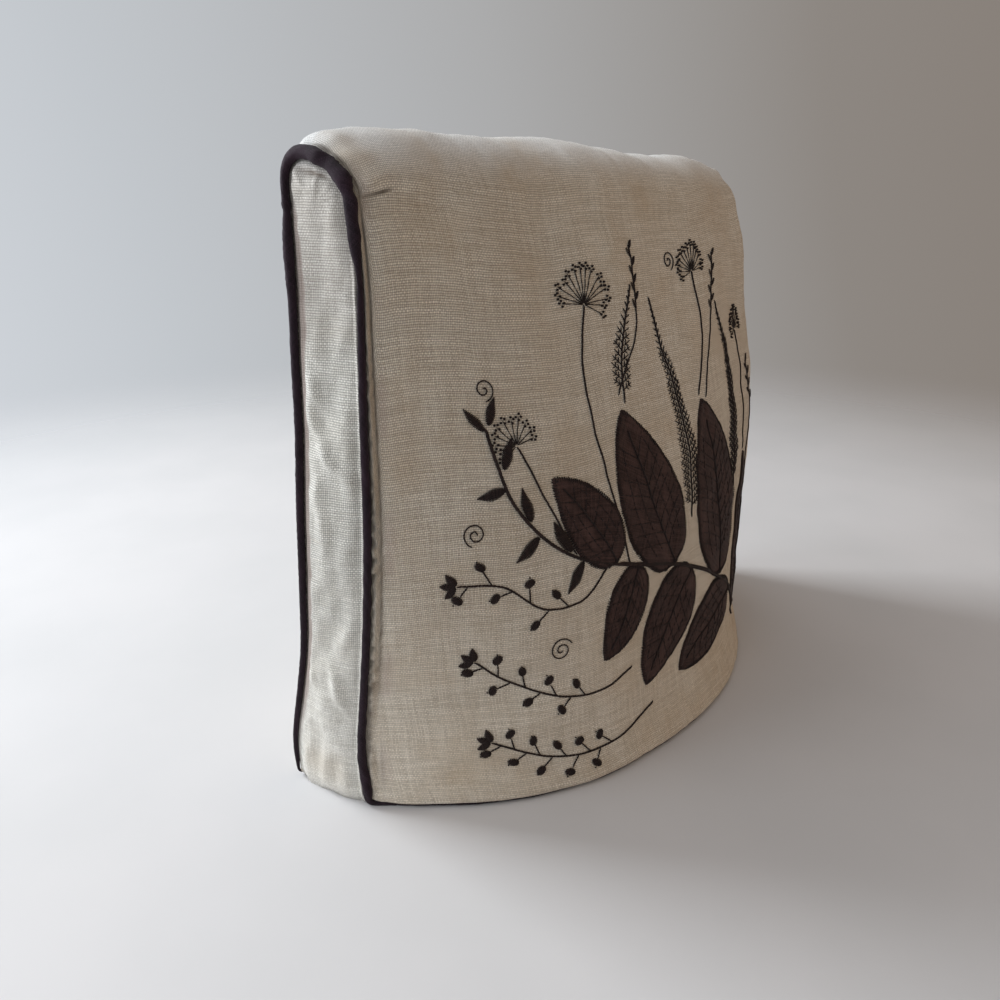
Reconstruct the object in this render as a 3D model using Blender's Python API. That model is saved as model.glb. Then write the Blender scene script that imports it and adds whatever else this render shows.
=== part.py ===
"""Padded linen tea cosy: one wrap panel over the top, two arched side gussets and dark piping.

The wrap panel is one padded panel that goes up the front, over the top and down the back. A narrow
arched gusset closes each side. Piping lies in a shallow valley along each side seam, turns under the
hem at both ends, and a thinner strip of it runs under the front and the back hem. The cosy is hollow
and open below. Sizes are in millimetres; the front faces -Y and the cosy stands on z = 0.
"""

import math

import bpy
import numpy as np

MM = 0.001

# ---- driving sizes, mm -----------------------------------------------------------------------------
WALL = 5.0               # padded wall of the wrap panel
GUSSET_WALL = 4.5        # padded wall of a gusset
HEM_Z = 3.3              # the wrap panel's hem stands this high, on the piping under it
VALLEY = 2.4             # how far the seam draws both panels in
VALLEY_WIDTH = 5.5       # how far from the seam that reaches
SEAM_GAP = 0.4           # each panel's edge stays this far from the seam's plane
HEM_TUCK = 1.2           # how far the outer cloth curls in at the hem
PIPE_CLEAR = 0.6         # between the piping and the valley's bottom
HEM_PIPE_R = 1.4         # thin piping under the hem
HEM_PIPE_IN = 2.7        # its centre line, inside the hem's outer edge
HEM_PIPE_START = 13.0    # where the side piping hands over to it, from the corner
CENTRE_X = 2.64          # moves the width's middle onto the origin
CENTRE_Y = 15.6          # moves the depth's middle onto the origin

# Height, then half width and depth position of the front seam and of the back seam, then how far the
# front and back bulge past their seams at mid width.
PANEL_ROWS = (
    # z,    front x, front y, back x, back y, front bulge, back bulge
    (0.0, 144.5, -8.0, 154.5, 28.5, 67.5, 13.0),
    (15.0, 143.8, -5.6, 154.0, 28.5, 62.8, 13.0),
    (30.0, 143.2, -5.6, 153.4, 26.5, 59.2, 13.0),
    (50.0, 142.6, -8.0, 152.8, 22.6, 54.0, 13.0),
    (75.0, 141.9, -11.2, 151.6, 18.6, 47.5, 13.0),
    (100.0, 141.1, -13.6, 151.6, 15.2, 42.0, 13.0),
    (130.0, 139.7, -14.6, 150.4, 13.8, 35.5, 13.0),
    (160.0, 137.7, -13.0, 146.9, 15.4, 29.0, 12.5),
    (190.0, 135.3, -11.2, 145.0, 17.0, 23.0, 12.0),
    (212.0, 133.9, -10.2, 143.6, 17.8, 19.0, 11.0),
    (236.0, 132.4, -6.4, 139.6, 22.6, 15.0, 9.0),
    (270.0, 132.0, -5.0, 138.5, 23.5, 13.0, 8.0),
)
FRONT_POWER_LEFT = 2.7   # how square the front's bulge is, left and right of the middle
FRONT_POWER_RIGHT = 2.1
BACK_POWER = 2.4

# Across the width (-1 left seam, +1 right seam): height of the top, and how much of it is rounded.
TOP_ROWS = (
    # u,     top z, rounded height
    (-1.00, 253.0, 17.0),
    (-0.94, 257.5, 19.0),
    (-0.86, 260.0, 22.0),
    (-0.70, 260.0, 24.0),
    (-0.45, 260.5, 26.0),
    (-0.20, 261.0, 26.0),
    (0.10, 258.5, 26.0),
    (0.40, 256.5, 26.0),
    (0.70, 256.5, 25.0),
    (0.88, 254.0, 23.0),
    (0.94, 251.5, 20.0),
    (1.00, 247.0, 17.0),
)
# The right top corner sags in: height, then how far.
RIGHT_SAG = ((0.0, 6.5), (15.0, 5.5), (30.0, 4.5), (60.0, 4.0), (130.0, 5.0), (170.0, 6.0), (212.0, 9.0),
             (236.0, 11.5), (270.0, 14.0))
# It lies further back too: height, then how far.
RIGHT_BACK = ((0.0, 3.0), (15.0, 3.0), (30.0, 4.5), (45.0, 3.5), (75.0, 2.5), (130.0, 2.0), (160.0, 2.0),
              (185.0, 1.5), (212.0, 1.0), (236.0, 1.0), (270.0, 1.0))
TOP_LEAN = 7.0           # the top leans this far back
TOP_DRAW = 4.0           # and its right end is drawn in by this

# Soft dents (-) and ridges (+): side 0 front, 1 gusset; centre across and up, direction, half length,
# half width, depth.
FOLDS = (
    # side, across, up,   deg, half len, half width, depth
    (0, -108.0, 236.0, 8.0, 16.0, 3.5, -1.8),
    (0, -56.0, 222.0, 85.0, 26.0, 15.0, -2.6),
    (0, -20.0, 215.0, 95.0, 34.0, 9.0, 1.8),
    (0, 20.0, 224.0, 80.0, 24.0, 14.0, -1.6),
    (0, -92.0, 52.0, 4.0, 34.0, 7.0, -1.5),
    (0, -78.0, 34.0, 3.0, 40.0, 6.0, 1.2),
    (0, 40.0, 24.0, -6.0, 50.0, 9.0, -1.4),
    (0, 110.0, 150.0, 90.0, 62.0, 10.0, 2.2),
    (0, 108.0, 222.0, 84.0, 26.0, 10.0, 2.2),
    (0, 116.0, 28.0, 3.0, 30.0, 7.0, -3.0),
    (1, 1.0, 176.0, -62.0, 20.0, 4.0, -1.5),
    (1, -2.0, 132.0, 55.0, 18.0, 4.0, 1.3),
    (1, 2.0, 84.0, -70.0, 20.0, 4.5, -1.6),
    (1, 0.0, 40.0, 75.0, 18.0, 5.0, 1.4),
)

# Mesh counts
EDGE_STEPS = (0.0, 1.8, 3.6, 6.0, 9.5, 15.0)     # columns near a seam, mm from it
MID_COLUMNS = 24
WALL_ROWS = 19
CAP_ROWS = 16
GUSSET_RINGS = 6
PIPE_R_ROWS = ((0.0, 1.95), (0.40, 2.0), (0.46, 2.4), (0.5, 2.5), (0.54, 2.3), (0.60, 1.9), (1.0, 1.8))


# ---- small helpers ---------------------------------------------------------------------------------
def smooth_table(rows, at):
    """Catmull-Rom through the rows' first column, for every other column."""
    rows = np.asarray(rows, float)
    at = np.clip(np.asarray(at, float), rows[0, 0], rows[-1, 0])
    slopes = np.gradient(rows[:, 1:], rows[:, 0], axis=0)
    i = np.clip(np.searchsorted(rows[:, 0], at, side="right") - 1, 0, len(rows) - 2)
    step = rows[i + 1, 0] - rows[i, 0]
    t = ((at - rows[i, 0]) / step)[..., None]
    step = step[..., None]
    p0, p1 = rows[i, 1:], rows[i + 1, 1:]
    m0, m1 = slopes[i] * step, slopes[i + 1] * step
    t2, t3 = t * t, t * t * t
    return (2 * t3 - 3 * t2 + 1) * p0 + (t3 - 2 * t2 + t) * m0 + (3 * t2 - 2 * t3) * p1 + (t3 - t2) * m1


def unit(v):
    return v / np.maximum(np.linalg.norm(v, axis=-1, keepdims=True), 1e-9)


def grid_normals(points):
    """Normals of a (rows, columns, 3) grid, from central differences."""
    along = np.gradient(points, axis=0)
    across = np.gradient(points, axis=1)
    return unit(np.cross(across, along))


def fold_height(side, across, up):
    """Sum of the soft folds of one side, at these places."""
    total = np.zeros(np.broadcast(across, up).shape)
    for row_side, cx, cz, deg, half_len, half_wide, depth in FOLDS:
        if row_side != side:
            continue
        c, s = math.cos(math.radians(deg)), math.sin(math.radians(deg))
        along = (across - cx) * c + (up - cz) * s
        off = -(across - cx) * s + (up - cz) * c
        total += depth * np.exp(-((off / half_wide) ** 2) - (along / half_len) ** 2)
    return total


# ---- the wrap panel's surface ----------------------------------------------------------------------
def panel_at(us, z):
    """PANEL_ROWS at these heights, with the right side's sag taken off its half widths."""
    r = smooth_table(PANEL_ROWS, z)
    sag = smooth_table(RIGHT_SAG, z)[..., 0] * np.clip(us * 4, 0, 1)
    r[..., 0] -= sag
    r[..., 2] -= sag
    share = np.clip((us - 0.45) / 0.55, 0, 1)
    r[..., 1] += smooth_table(RIGHT_BACK, z)[..., 0] * share * share * (3 - 2 * share)
    return r


def wrap_base(us, walls, caps):
    """Grid of the padded surface without seam valleys: rows from front hem over the top to back hem."""
    us = np.asarray(us, float)
    top = smooth_table(TOP_ROWS, us)
    top_z, round_h = top[:, 0], top[:, 1]
    spring = top_z - round_h
    power = np.where(us < 0, FRONT_POWER_LEFT, FRONT_POWER_RIGHT)
    front_share = 1 - np.abs(us) ** power
    back_share = 1 - np.abs(us) ** BACK_POWER
    rows = []
    for t in walls:                                   # front wall, upward
        z = HEM_Z + (spring - HEM_Z) * t
        r = panel_at(us, z)
        rows.append(np.stack([us * r[:, 0], r[:, 1] - r[:, 4] * front_share, z], -1))
    r = panel_at(us, spring)
    y_front = r[:, 1] - r[:, 4] * front_share
    y_back = r[:, 3] + r[:, 5] * back_share
    mid, half = (y_front + y_back) / 2, (y_back - y_front) / 2
    for angle in caps:                                # over the top, -90 to 90 degrees
        rise, k = math.cos(angle), math.sin(angle)
        x = us * (r[:, 0] + (r[:, 2] - r[:, 0]) * (k + 1) / 2 - TOP_DRAW * rise * (us > 0))
        lean = TOP_LEAN * np.abs(rise) ** 1.5
        rows.append(np.stack([x, mid + half * k + lean, spring + round_h * rise], -1))
    for t in walls[::-1]:                             # back wall, downward
        z = HEM_Z + (spring - HEM_Z) * t
        r = panel_at(us, z)
        rows.append(np.stack([us * r[:, 2], r[:, 3] + r[:, 5] * back_share, z], -1))
    return np.array(rows)


def column_places(edge_steps, middle):
    """u of each column: a few close to each seam, the others even."""
    edge = np.array(edge_steps) / PANEL_ROWS[5][1]
    inner = np.linspace(-1 + edge[-1], 1 - edge[-1], middle + 1)[1:-1]
    return np.concatenate([-1 + edge, inner, (1 - edge)[::-1]])


MIRROR = np.array([-1.0, 1.0, 1.0])


def seam_frames(base, normals):
    """Along the left seam: its line, the gusset's outward normal and the corner's outward bisector."""
    line = base[:, 0]
    half = len(line) // 2
    chord = unit(line[::-1] - line)
    chord[half:] = unit(line - line[::-1])[half:]
    chord[half - 3: half + 4] = chord[half - 4]
    gusset_n = unit(np.cross(np.array([0.0, 0.0, 1.0]), chord))
    middle = unit(normals[:, 0] + gusset_n)
    cosine = np.clip((middle * normals[:, 0]).sum(-1, keepdims=True), 0.6, 1)
    tangent = unit(np.gradient(line, axis=0))
    into_wrap = unit(np.cross(middle, tangent))
    into_wrap *= np.sign((into_wrap[:, :1]) + 1e-9)
    return line, gusset_n, middle, cosine, into_wrap


def wrap_surfaces(us, walls, caps):
    """Outer and inner grids of the wrap panel, and both seams' frames, each as if it were the left."""
    base = wrap_base(us, walls, caps)
    normals = grid_normals(base)
    left = seam_frames(base, normals)
    right = seam_frames(base[:, ::-1] * MIRROR, normals[:, ::-1] * MIRROR)
    edge_mm = (1 - np.abs(us)) * PANEL_ROWS[5][1]
    near = np.exp(-((edge_mm / VALLEY_WIDTH) ** 2))[None, :, None]
    on_left = us[None, :, None] < 0
    middle = np.where(on_left, left[2][:, None], right[2][:, None] * MIRROR)
    cosine = np.where(on_left, left[3][:, None], right[3][:, None])
    direction = normals * (1 - near) + (middle / cosine) * near
    hem = np.ones(len(base))
    up = np.abs(base[:, len(us) // 2, 2] - HEM_Z)
    hem = np.exp(-((up / 4.0) ** 2))[:, None]
    swell = fold_height(0, base[..., 0], base[..., 2]) * (normals[..., 1] < 0.2)
    swell *= 1 - near[..., 0]
    swell = swell - HEM_TUCK * hem * (1 - near[..., 0])
    level = 1 - np.exp(-((up / 7.0) ** 2))[:, None]
    outward = unit(normals * (1 - near) + middle * near)
    outward[..., 2] *= level
    direction[..., 2] *= level
    outer = base + normals * swell[..., None] - outward * VALLEY * near
    inner = outer - direction * WALL
    shift = np.where(on_left, left[4][:, None], right[4][:, None] * MIRROR)
    straighten(inner, edge_mm)
    for grid in (outer, inner):
        grid += shift * SEAM_GAP * near
        grid[0, :, 2] = grid[-1, :, 2] = HEM_Z
    return outer, inner, left, right


def straighten(inner, edge_mm):
    """The inner cloth runs straight from each seam to the edge zone's last column, so it can't fold."""
    last = len(EDGE_STEPS) - 1
    share = (edge_mm[:last + 1] / edge_mm[last])[None, :, None]
    for side in (inner, inner[:, ::-1]):
        side[:, :last + 1] = side[:, :1] * (1 - share) + side[:, last:last + 1] * share


# ---- meshes ----------------------------------------------------------------------------------------
def grid_faces(rows, columns, start, flip=False):
    faces = []
    for i in range(rows - 1):
        for j in range(columns - 1):
            a = start + i * columns + j
            quad = (a, a + 1, a + columns + 1, a + columns)
            faces.append(quad[::-1] if flip else quad)
    return faces


def border(rows, columns):
    """Indices once round a grid's edge."""
    return (
        [j for j in range(columns)]
        + [i * columns + columns - 1 for i in range(1, rows)]
        + [(rows - 1) * columns + j for j in range(columns - 2, -1, -1)]
        + [i * columns for i in range(rows - 2, 0, -1)]
    )


def shell_mesh(outer, inner):
    """Closed solid between two equal grids."""
    rows, columns = outer.shape[:2]
    count = rows * columns
    points = np.concatenate([outer.reshape(-1, 3), inner.reshape(-1, 3)])
    faces = grid_faces(rows, columns, 0) + grid_faces(rows, columns, count, flip=True)
    edge = border(rows, columns)
    for a, b in zip(edge, edge[1:] + edge[:1]):
        faces.append((b, a, a + count, b + count))
    return points, faces


def gusset_surfaces(frames, rings):
    """Outer and inner grids of the left gusset: columns along the seam, rows from seam to centre line."""
    line, gusset_n, middle, cosine, into_wrap = frames
    count = len(line)
    half = count // 2
    reach = np.arange(count)
    partner = line[::-1]
    centre = (line + partner) / 2
    spring = CAP_ROWS // 2
    focus = centre[half - spring]
    in_cap = np.abs(reach - half) <= spring
    centre = np.where(in_cap[:, None], focus, centre)
    outer, inner = [], []
    for k in range(rings + 1):
        share = (k / rings) ** 0.9
        base = line * (1 - share) + centre * share
        width = np.linalg.norm(centre - line, axis=1) * share
        near = np.exp(-((width / VALLEY_WIDTH) ** 2))[:, None]
        if k == rings:
            near = near * 0 + near.max() * 0.2
        out_n = gusset_n
        level = 1 - np.exp(-((base[:, 2:] / 7.0) ** 2)) * np.array([0.0, 0.0, 1.0])
        direction = (out_n * (1 - near) + middle / np.maximum(cosine, 0.9) * near) * level
        outward = unit(out_n * (1 - near) + middle * near) * level
        swell = fold_height(1, base[:, 1] - centre[:, 1], base[:, 2])[:, None] * (1 - near)
        swell += 1.2 * (1 - near)
        ring = base + out_n * swell - outward * VALLEY * near - into_wrap * SEAM_GAP * near
        back = ring - direction * GUSSET_WALL
        outer.append(ring)
        inner.append(back)
    outer, inner = np.array(outer), np.array(inner)
    for grid in (outer, inner):
        grid[-1] = (grid[-1] + grid[-1][::-1]) / 2
        grid[-1][in_cap] = grid[-1][half - spring]
        grid[:, 0, 2] = grid[:, -1, 2] = 0.0
    return outer, inner


def add_mesh(name, points, faces, material):
    mesh = bpy.data.meshes.new(name)
    mesh.from_pydata([tuple(p * MM) for p in points], [], faces)
    mesh.validate()
    obj = bpy.data.objects.new(name, mesh)
    collection.objects.link(obj)
    mesh.materials.append(material)
    return obj


def gusset_mesh(outer, inner):
    """Closed solid of a gusset: the last ring is its centre line, where both halves meet."""
    rings, columns = outer.shape[:2]
    half, spring = columns // 2, CAP_ROWS // 2
    names, points = {}, []

    def vertex(layer, k, i):
        if k == rings - 1:
            i = min(i, columns - 1 - i, half - spring)
        key = (layer, k, i)
        if key not in names:
            names[key] = len(points)
            points.append((outer, inner)[layer][k, i])
        return names[key]

    def face(corners):
        ring = []
        for corner in corners:
            if corner not in ring:
                ring.append(corner)
        if len(ring) > 2:
            faces.append(tuple(ring))

    faces = []
    last = columns - 1
    for k in range(rings - 1):
        for i in range(last):
            cell = ((k, i), (k, i + 1), (k + 1, i + 1), (k + 1, i))
            face([vertex(0, *c) for c in cell])
            face([vertex(1, *c) for c in cell[::-1]])
        face([vertex(0, k, 0), vertex(0, k + 1, 0), vertex(1, k + 1, 0), vertex(1, k, 0)])
        face([vertex(0, k + 1, last), vertex(0, k, last), vertex(1, k, last), vertex(1, k + 1, last)])
    for i in range(last):
        face([vertex(0, 0, i + 1), vertex(0, 0, i), vertex(1, 0, i), vertex(1, 0, i + 1)])
    return np.array(points), faces


def mirrored(points, faces):
    return points * np.array([-1.0, 1.0, 1.0]), [f[::-1] for f in faces]


def add_pipe(name, points, radii, material):
    """Round piping on a smooth line, with closed ends."""
    curve = bpy.data.curves.new(name, "CURVE")
    curve.dimensions = "3D"
    spline = curve.splines.new("POLY")
    spline.points.add(len(points) - 1)
    for spot, p, r in zip(spline.points, points, radii):
        spot.co = (p[0] * MM, p[1] * MM, p[2] * MM, 1.0)
        spot.radius = r
    curve.bevel_depth = MM
    curve.bevel_resolution = 3
    curve.use_fill_caps = True
    obj = bpy.data.objects.new(name, curve)
    collection.objects.link(obj)
    curve.materials.append(material)
    return obj


def evenly(points, step):
    """The polyline resampled at even steps."""
    lengths = np.concatenate([[0], np.cumsum(np.linalg.norm(np.diff(points, axis=0), axis=1))])
    count = max(2, int(round(lengths[-1] / step)) + 1)
    at = np.linspace(0, lengths[-1], count)
    return np.stack([np.interp(at, lengths, points[:, i]) for i in range(3)], -1), lengths[-1]


def smoothed(points, rounds):
    for _ in range(rounds):
        points[1:-1] = (points[:-2] + 2 * points[1:-1] + points[2:]) / 4
    return points


def hem_line(edge_row, inward, from_corner):
    """The hem piping's line: inside the hem's outer edge, cut back from both corners."""
    line = edge_row + inward * HEM_PIPE_IN
    line[:, 2] = HEM_PIPE_R
    line, length = evenly(line, 1.0)
    skip = int(round(from_corner))
    return line[skip:len(line) - skip]


# ---- build -----------------------------------------------------------------------------------------
for old in list(bpy.data.objects):
    bpy.data.objects.remove(old, do_unlink=True)
collection = bpy.data.collections.new("tea_cosy")
bpy.context.scene.collection.children.link(collection)


def material(name, colour, roughness):
    made = bpy.data.materials.new(name)
    made.use_nodes = True
    shader = made.node_tree.nodes["Principled BSDF"]
    shader.inputs["Base Color"].default_value = (*colour, 1.0)
    shader.inputs["Roughness"].default_value = roughness
    made.diffuse_color = (*colour, 1.0)
    return made


LINEN = material("linen", (0.42, 0.36, 0.29), 0.95)
GUSSET_LINEN = material("gusset_linen", (0.46, 0.42, 0.36), 0.95)
PIPING = material("piping", (0.035, 0.02, 0.025), 0.8)

places = column_places(EDGE_STEPS, MID_COLUMNS)
wall_steps = np.linspace(0, 1, WALL_ROWS + 1)[:-1]
wall_steps = np.concatenate([[0, 0.012, 0.03], wall_steps[1:]])
cap_angles = np.linspace(-math.pi / 2, math.pi / 2, CAP_ROWS + 1)
outer, inner, left_frames, right_frames = wrap_surfaces(places, wall_steps, cap_angles)
origin = np.array([CENTRE_X, CENTRE_Y, 0.0])
outer += origin
inner += origin

points, faces = shell_mesh(outer, inner)
add_mesh("wrap_panel", points, faces, LINEN)


def gusset_solid(frames, shift):
    line, gusset_n, middle, cosine, into_wrap = frames
    low = line.copy()
    low[0, 2] = low[-1, 2] = 0.0
    g_outer, g_inner = gusset_surfaces((low, gusset_n, middle, cosine, into_wrap), GUSSET_RINGS)
    return gusset_mesh(g_outer + shift, g_inner + shift)


add_mesh("gusset_left", *gusset_solid(left_frames, origin), GUSSET_LINEN)
add_mesh("gusset_right", *mirrored(*gusset_solid(right_frames, origin * MIRROR)), GUSSET_LINEN)

# The side piping follows the seam's line and turns under the hem at both ends.
front_in = unit(inner[0] - outer[0])
back_in = unit(inner[-1] - outer[-1])
front_hem = hem_line(outer[0].copy(), front_in, 0)
back_hem = hem_line(outer[-1].copy(), back_in, 0)


def turn_under(start, hem_points, upto):
    """From a point just above the floor, round a small curve and along under the hem."""
    run = [start + np.array([0, 0, -1.0]) * d for d in (0.0, 1.2, 2.2, 3.0)]
    foot = start.copy()
    foot[2] = HEM_PIPE_R
    for i in range(2, upto):
        blend = min(1.0, i / 9.0) ** 3
        run.append(foot + hem_points[i] - hem_points[0] + (hem_points[0] - foot) * blend)
    return np.array(run)


def side_pipe(name, frames, front, back, shift):
    line, _, middle, _, _ = frames
    steps = np.linalg.norm(np.diff(line, axis=0, prepend=line[:1]), axis=1).cumsum()
    radii = smooth_table(PIPE_R_ROWS, steps / steps[-1])
    seam = line + middle * (radii + PIPE_CLEAR - VALLEY) + shift
    seam = seam[seam[:, 2] > 6.5]
    foot = np.array([1.0, 1.0, 0.0])
    lift = np.array([0.0, 0.0, 5.0])
    down = turn_under(seam[0] * foot + lift, front, int(HEM_PIPE_START))
    back_down = turn_under(seam[-1] * foot + lift, back, int(HEM_PIPE_START))
    route, _ = evenly(np.concatenate([down[::-1], seam, back_down]), 1.2)
    route, _ = evenly(smoothed(route, 3), 5.0)
    radii = smooth_table(PIPE_R_ROWS, np.linspace(0, 1, len(route)))[:, 0]
    radii = np.clip(HEM_PIPE_R + (route[:, 2] - 4.0) * 0.08, HEM_PIPE_R, radii)
    route[:, 2] = np.maximum(route[:, 2], radii)
    return route, radii


route, radii = side_pipe("piping_left", left_frames, front_hem, back_hem, origin)
add_pipe("piping_left", route, radii, PIPING)
route, radii = side_pipe("piping_right", right_frames, front_hem[::-1] * MIRROR, back_hem[::-1] * MIRROR,
                         origin * MIRROR)
add_pipe("piping_right", route * MIRROR, radii, PIPING)

for name, hem in (("piping_hem_front", front_hem), ("piping_hem_back", back_hem)):
    skip = int(HEM_PIPE_START) + 1
    cut, _ = evenly(hem[skip:len(hem) - skip], 6.0)
    add_pipe(name, cut, [HEM_PIPE_R] * len(cut), PIPING)
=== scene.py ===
"""Looks of the padded linen tea cosy: its cloth, seams, piping, applique and embroidery.

The wrap cloth and the gussets lie on the same surfaces as the frame's solids, only finer: with the seam's
lip and groove, puckers, creases and a rolled hem. Sizes are in millimetres unless a name says otherwise.
"""
import math

import bpy
import numpy as np
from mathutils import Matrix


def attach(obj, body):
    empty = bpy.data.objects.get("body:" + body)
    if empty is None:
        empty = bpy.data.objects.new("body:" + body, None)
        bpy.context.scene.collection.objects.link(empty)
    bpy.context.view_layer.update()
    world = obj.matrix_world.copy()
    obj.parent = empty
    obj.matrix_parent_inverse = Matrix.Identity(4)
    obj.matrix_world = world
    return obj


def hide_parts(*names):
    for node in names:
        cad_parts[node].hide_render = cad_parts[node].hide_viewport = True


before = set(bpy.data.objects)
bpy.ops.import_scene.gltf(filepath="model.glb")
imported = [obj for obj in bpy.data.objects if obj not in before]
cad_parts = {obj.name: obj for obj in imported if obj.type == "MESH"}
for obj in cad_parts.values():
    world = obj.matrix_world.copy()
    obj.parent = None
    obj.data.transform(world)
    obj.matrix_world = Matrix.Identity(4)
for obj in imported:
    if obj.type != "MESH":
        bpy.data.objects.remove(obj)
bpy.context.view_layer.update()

MM = 0.001

# ---- sizes shared with the solids ----
WALL, GUSSET_WALL = 5.0, 4.5
HEM_Z, VALLEY, VALLEY_WIDTH = 3.3, 2.4, 5.5
ORIGIN = np.array([2.64, 15.6, 0.0])       # where the shape's own middle lies in the frame
MIRROR = np.array([-1.0, 1.0, 1.0])
LEVEL = np.array([1.0, 1.0, 0.0])          # a vector times this lies level
UP = np.array([0.0, 0.0, 1.0])
PANEL_ROWS = (
    # z,    front x, front y, back x, back y, front bulge, back bulge
    (0.0, 144.5, -8.0, 154.5, 28.5, 67.5, 13.0),
    (15.0, 143.8, -5.6, 154.0, 28.5, 62.8, 13.0),
    (30.0, 143.2, -5.6, 153.4, 26.5, 59.2, 13.0),
    (50.0, 142.6, -8.0, 152.8, 22.6, 54.0, 13.0),
    (75.0, 141.9, -11.2, 151.6, 18.6, 47.5, 13.0),
    (100.0, 141.1, -13.6, 151.6, 15.2, 42.0, 13.0),
    (130.0, 139.7, -14.6, 150.4, 13.8, 35.5, 13.0),
    (160.0, 137.7, -13.0, 146.9, 15.4, 29.0, 12.5),
    (190.0, 135.3, -11.2, 145.0, 17.0, 23.0, 12.0),
    (212.0, 133.9, -10.2, 143.6, 17.8, 19.0, 11.0),
    (236.0, 132.4, -6.4, 139.6, 22.6, 15.0, 9.0),
    (270.0, 132.0, -5.0, 138.5, 23.5, 13.0, 8.0),
)
FRONT_POWER_LEFT, FRONT_POWER_RIGHT, BACK_POWER = 2.7, 2.1, 2.4
TOP_ROWS = (
    # u,     top z, rounded height
    (-1.00, 253.0, 17.0),
    (-0.94, 258.1, 19.3),
    (-0.86, 260.8, 22.3),
    (-0.70, 261.0, 24.0),
    (-0.45, 260.3, 26.0),
    (-0.20, 261.0, 26.0),
    (0.10, 258.5, 26.0),
    (0.40, 256.5, 26.0),
    (0.70, 256.5, 25.0),
    (0.88, 254.0, 23.0),
    (0.94, 251.5, 20.0),
    (1.00, 247.0, 17.0),
)
# At each height, the right end is drawn in by this much in x
RIGHT_SAG = ((0.0, 6.5), (15.0, 5.5), (30.0, 4.5), (60.0, 4.0), (130.0, 5.0), (170.0, 6.0), (212.0, 9.0),
             (236.0, 11.5), (270.0, 14.0))
# and lies back there, by this much in y
RIGHT_BACK = ((0.0, 3.0), (15.0, 3.0), (30.0, 4.5), (45.0, 3.5), (75.0, 2.5), (130.0, 2.0), (160.0, 2.5),
              (185.0, 4.0), (212.0, 6.0), (236.0, 6.5), (270.0, 6.5))
TOP_LEAN, TOP_DRAW = 7.0, 4.0
# The back left seam stands back (+) or forward (-) around some heights: height, half height, by how much
BACK_LEFT_SHIFTS = ((20.0, 20.0, 2.3), (208.0, 26.0, -1.0), (66.0, 14.0, -0.6))

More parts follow.
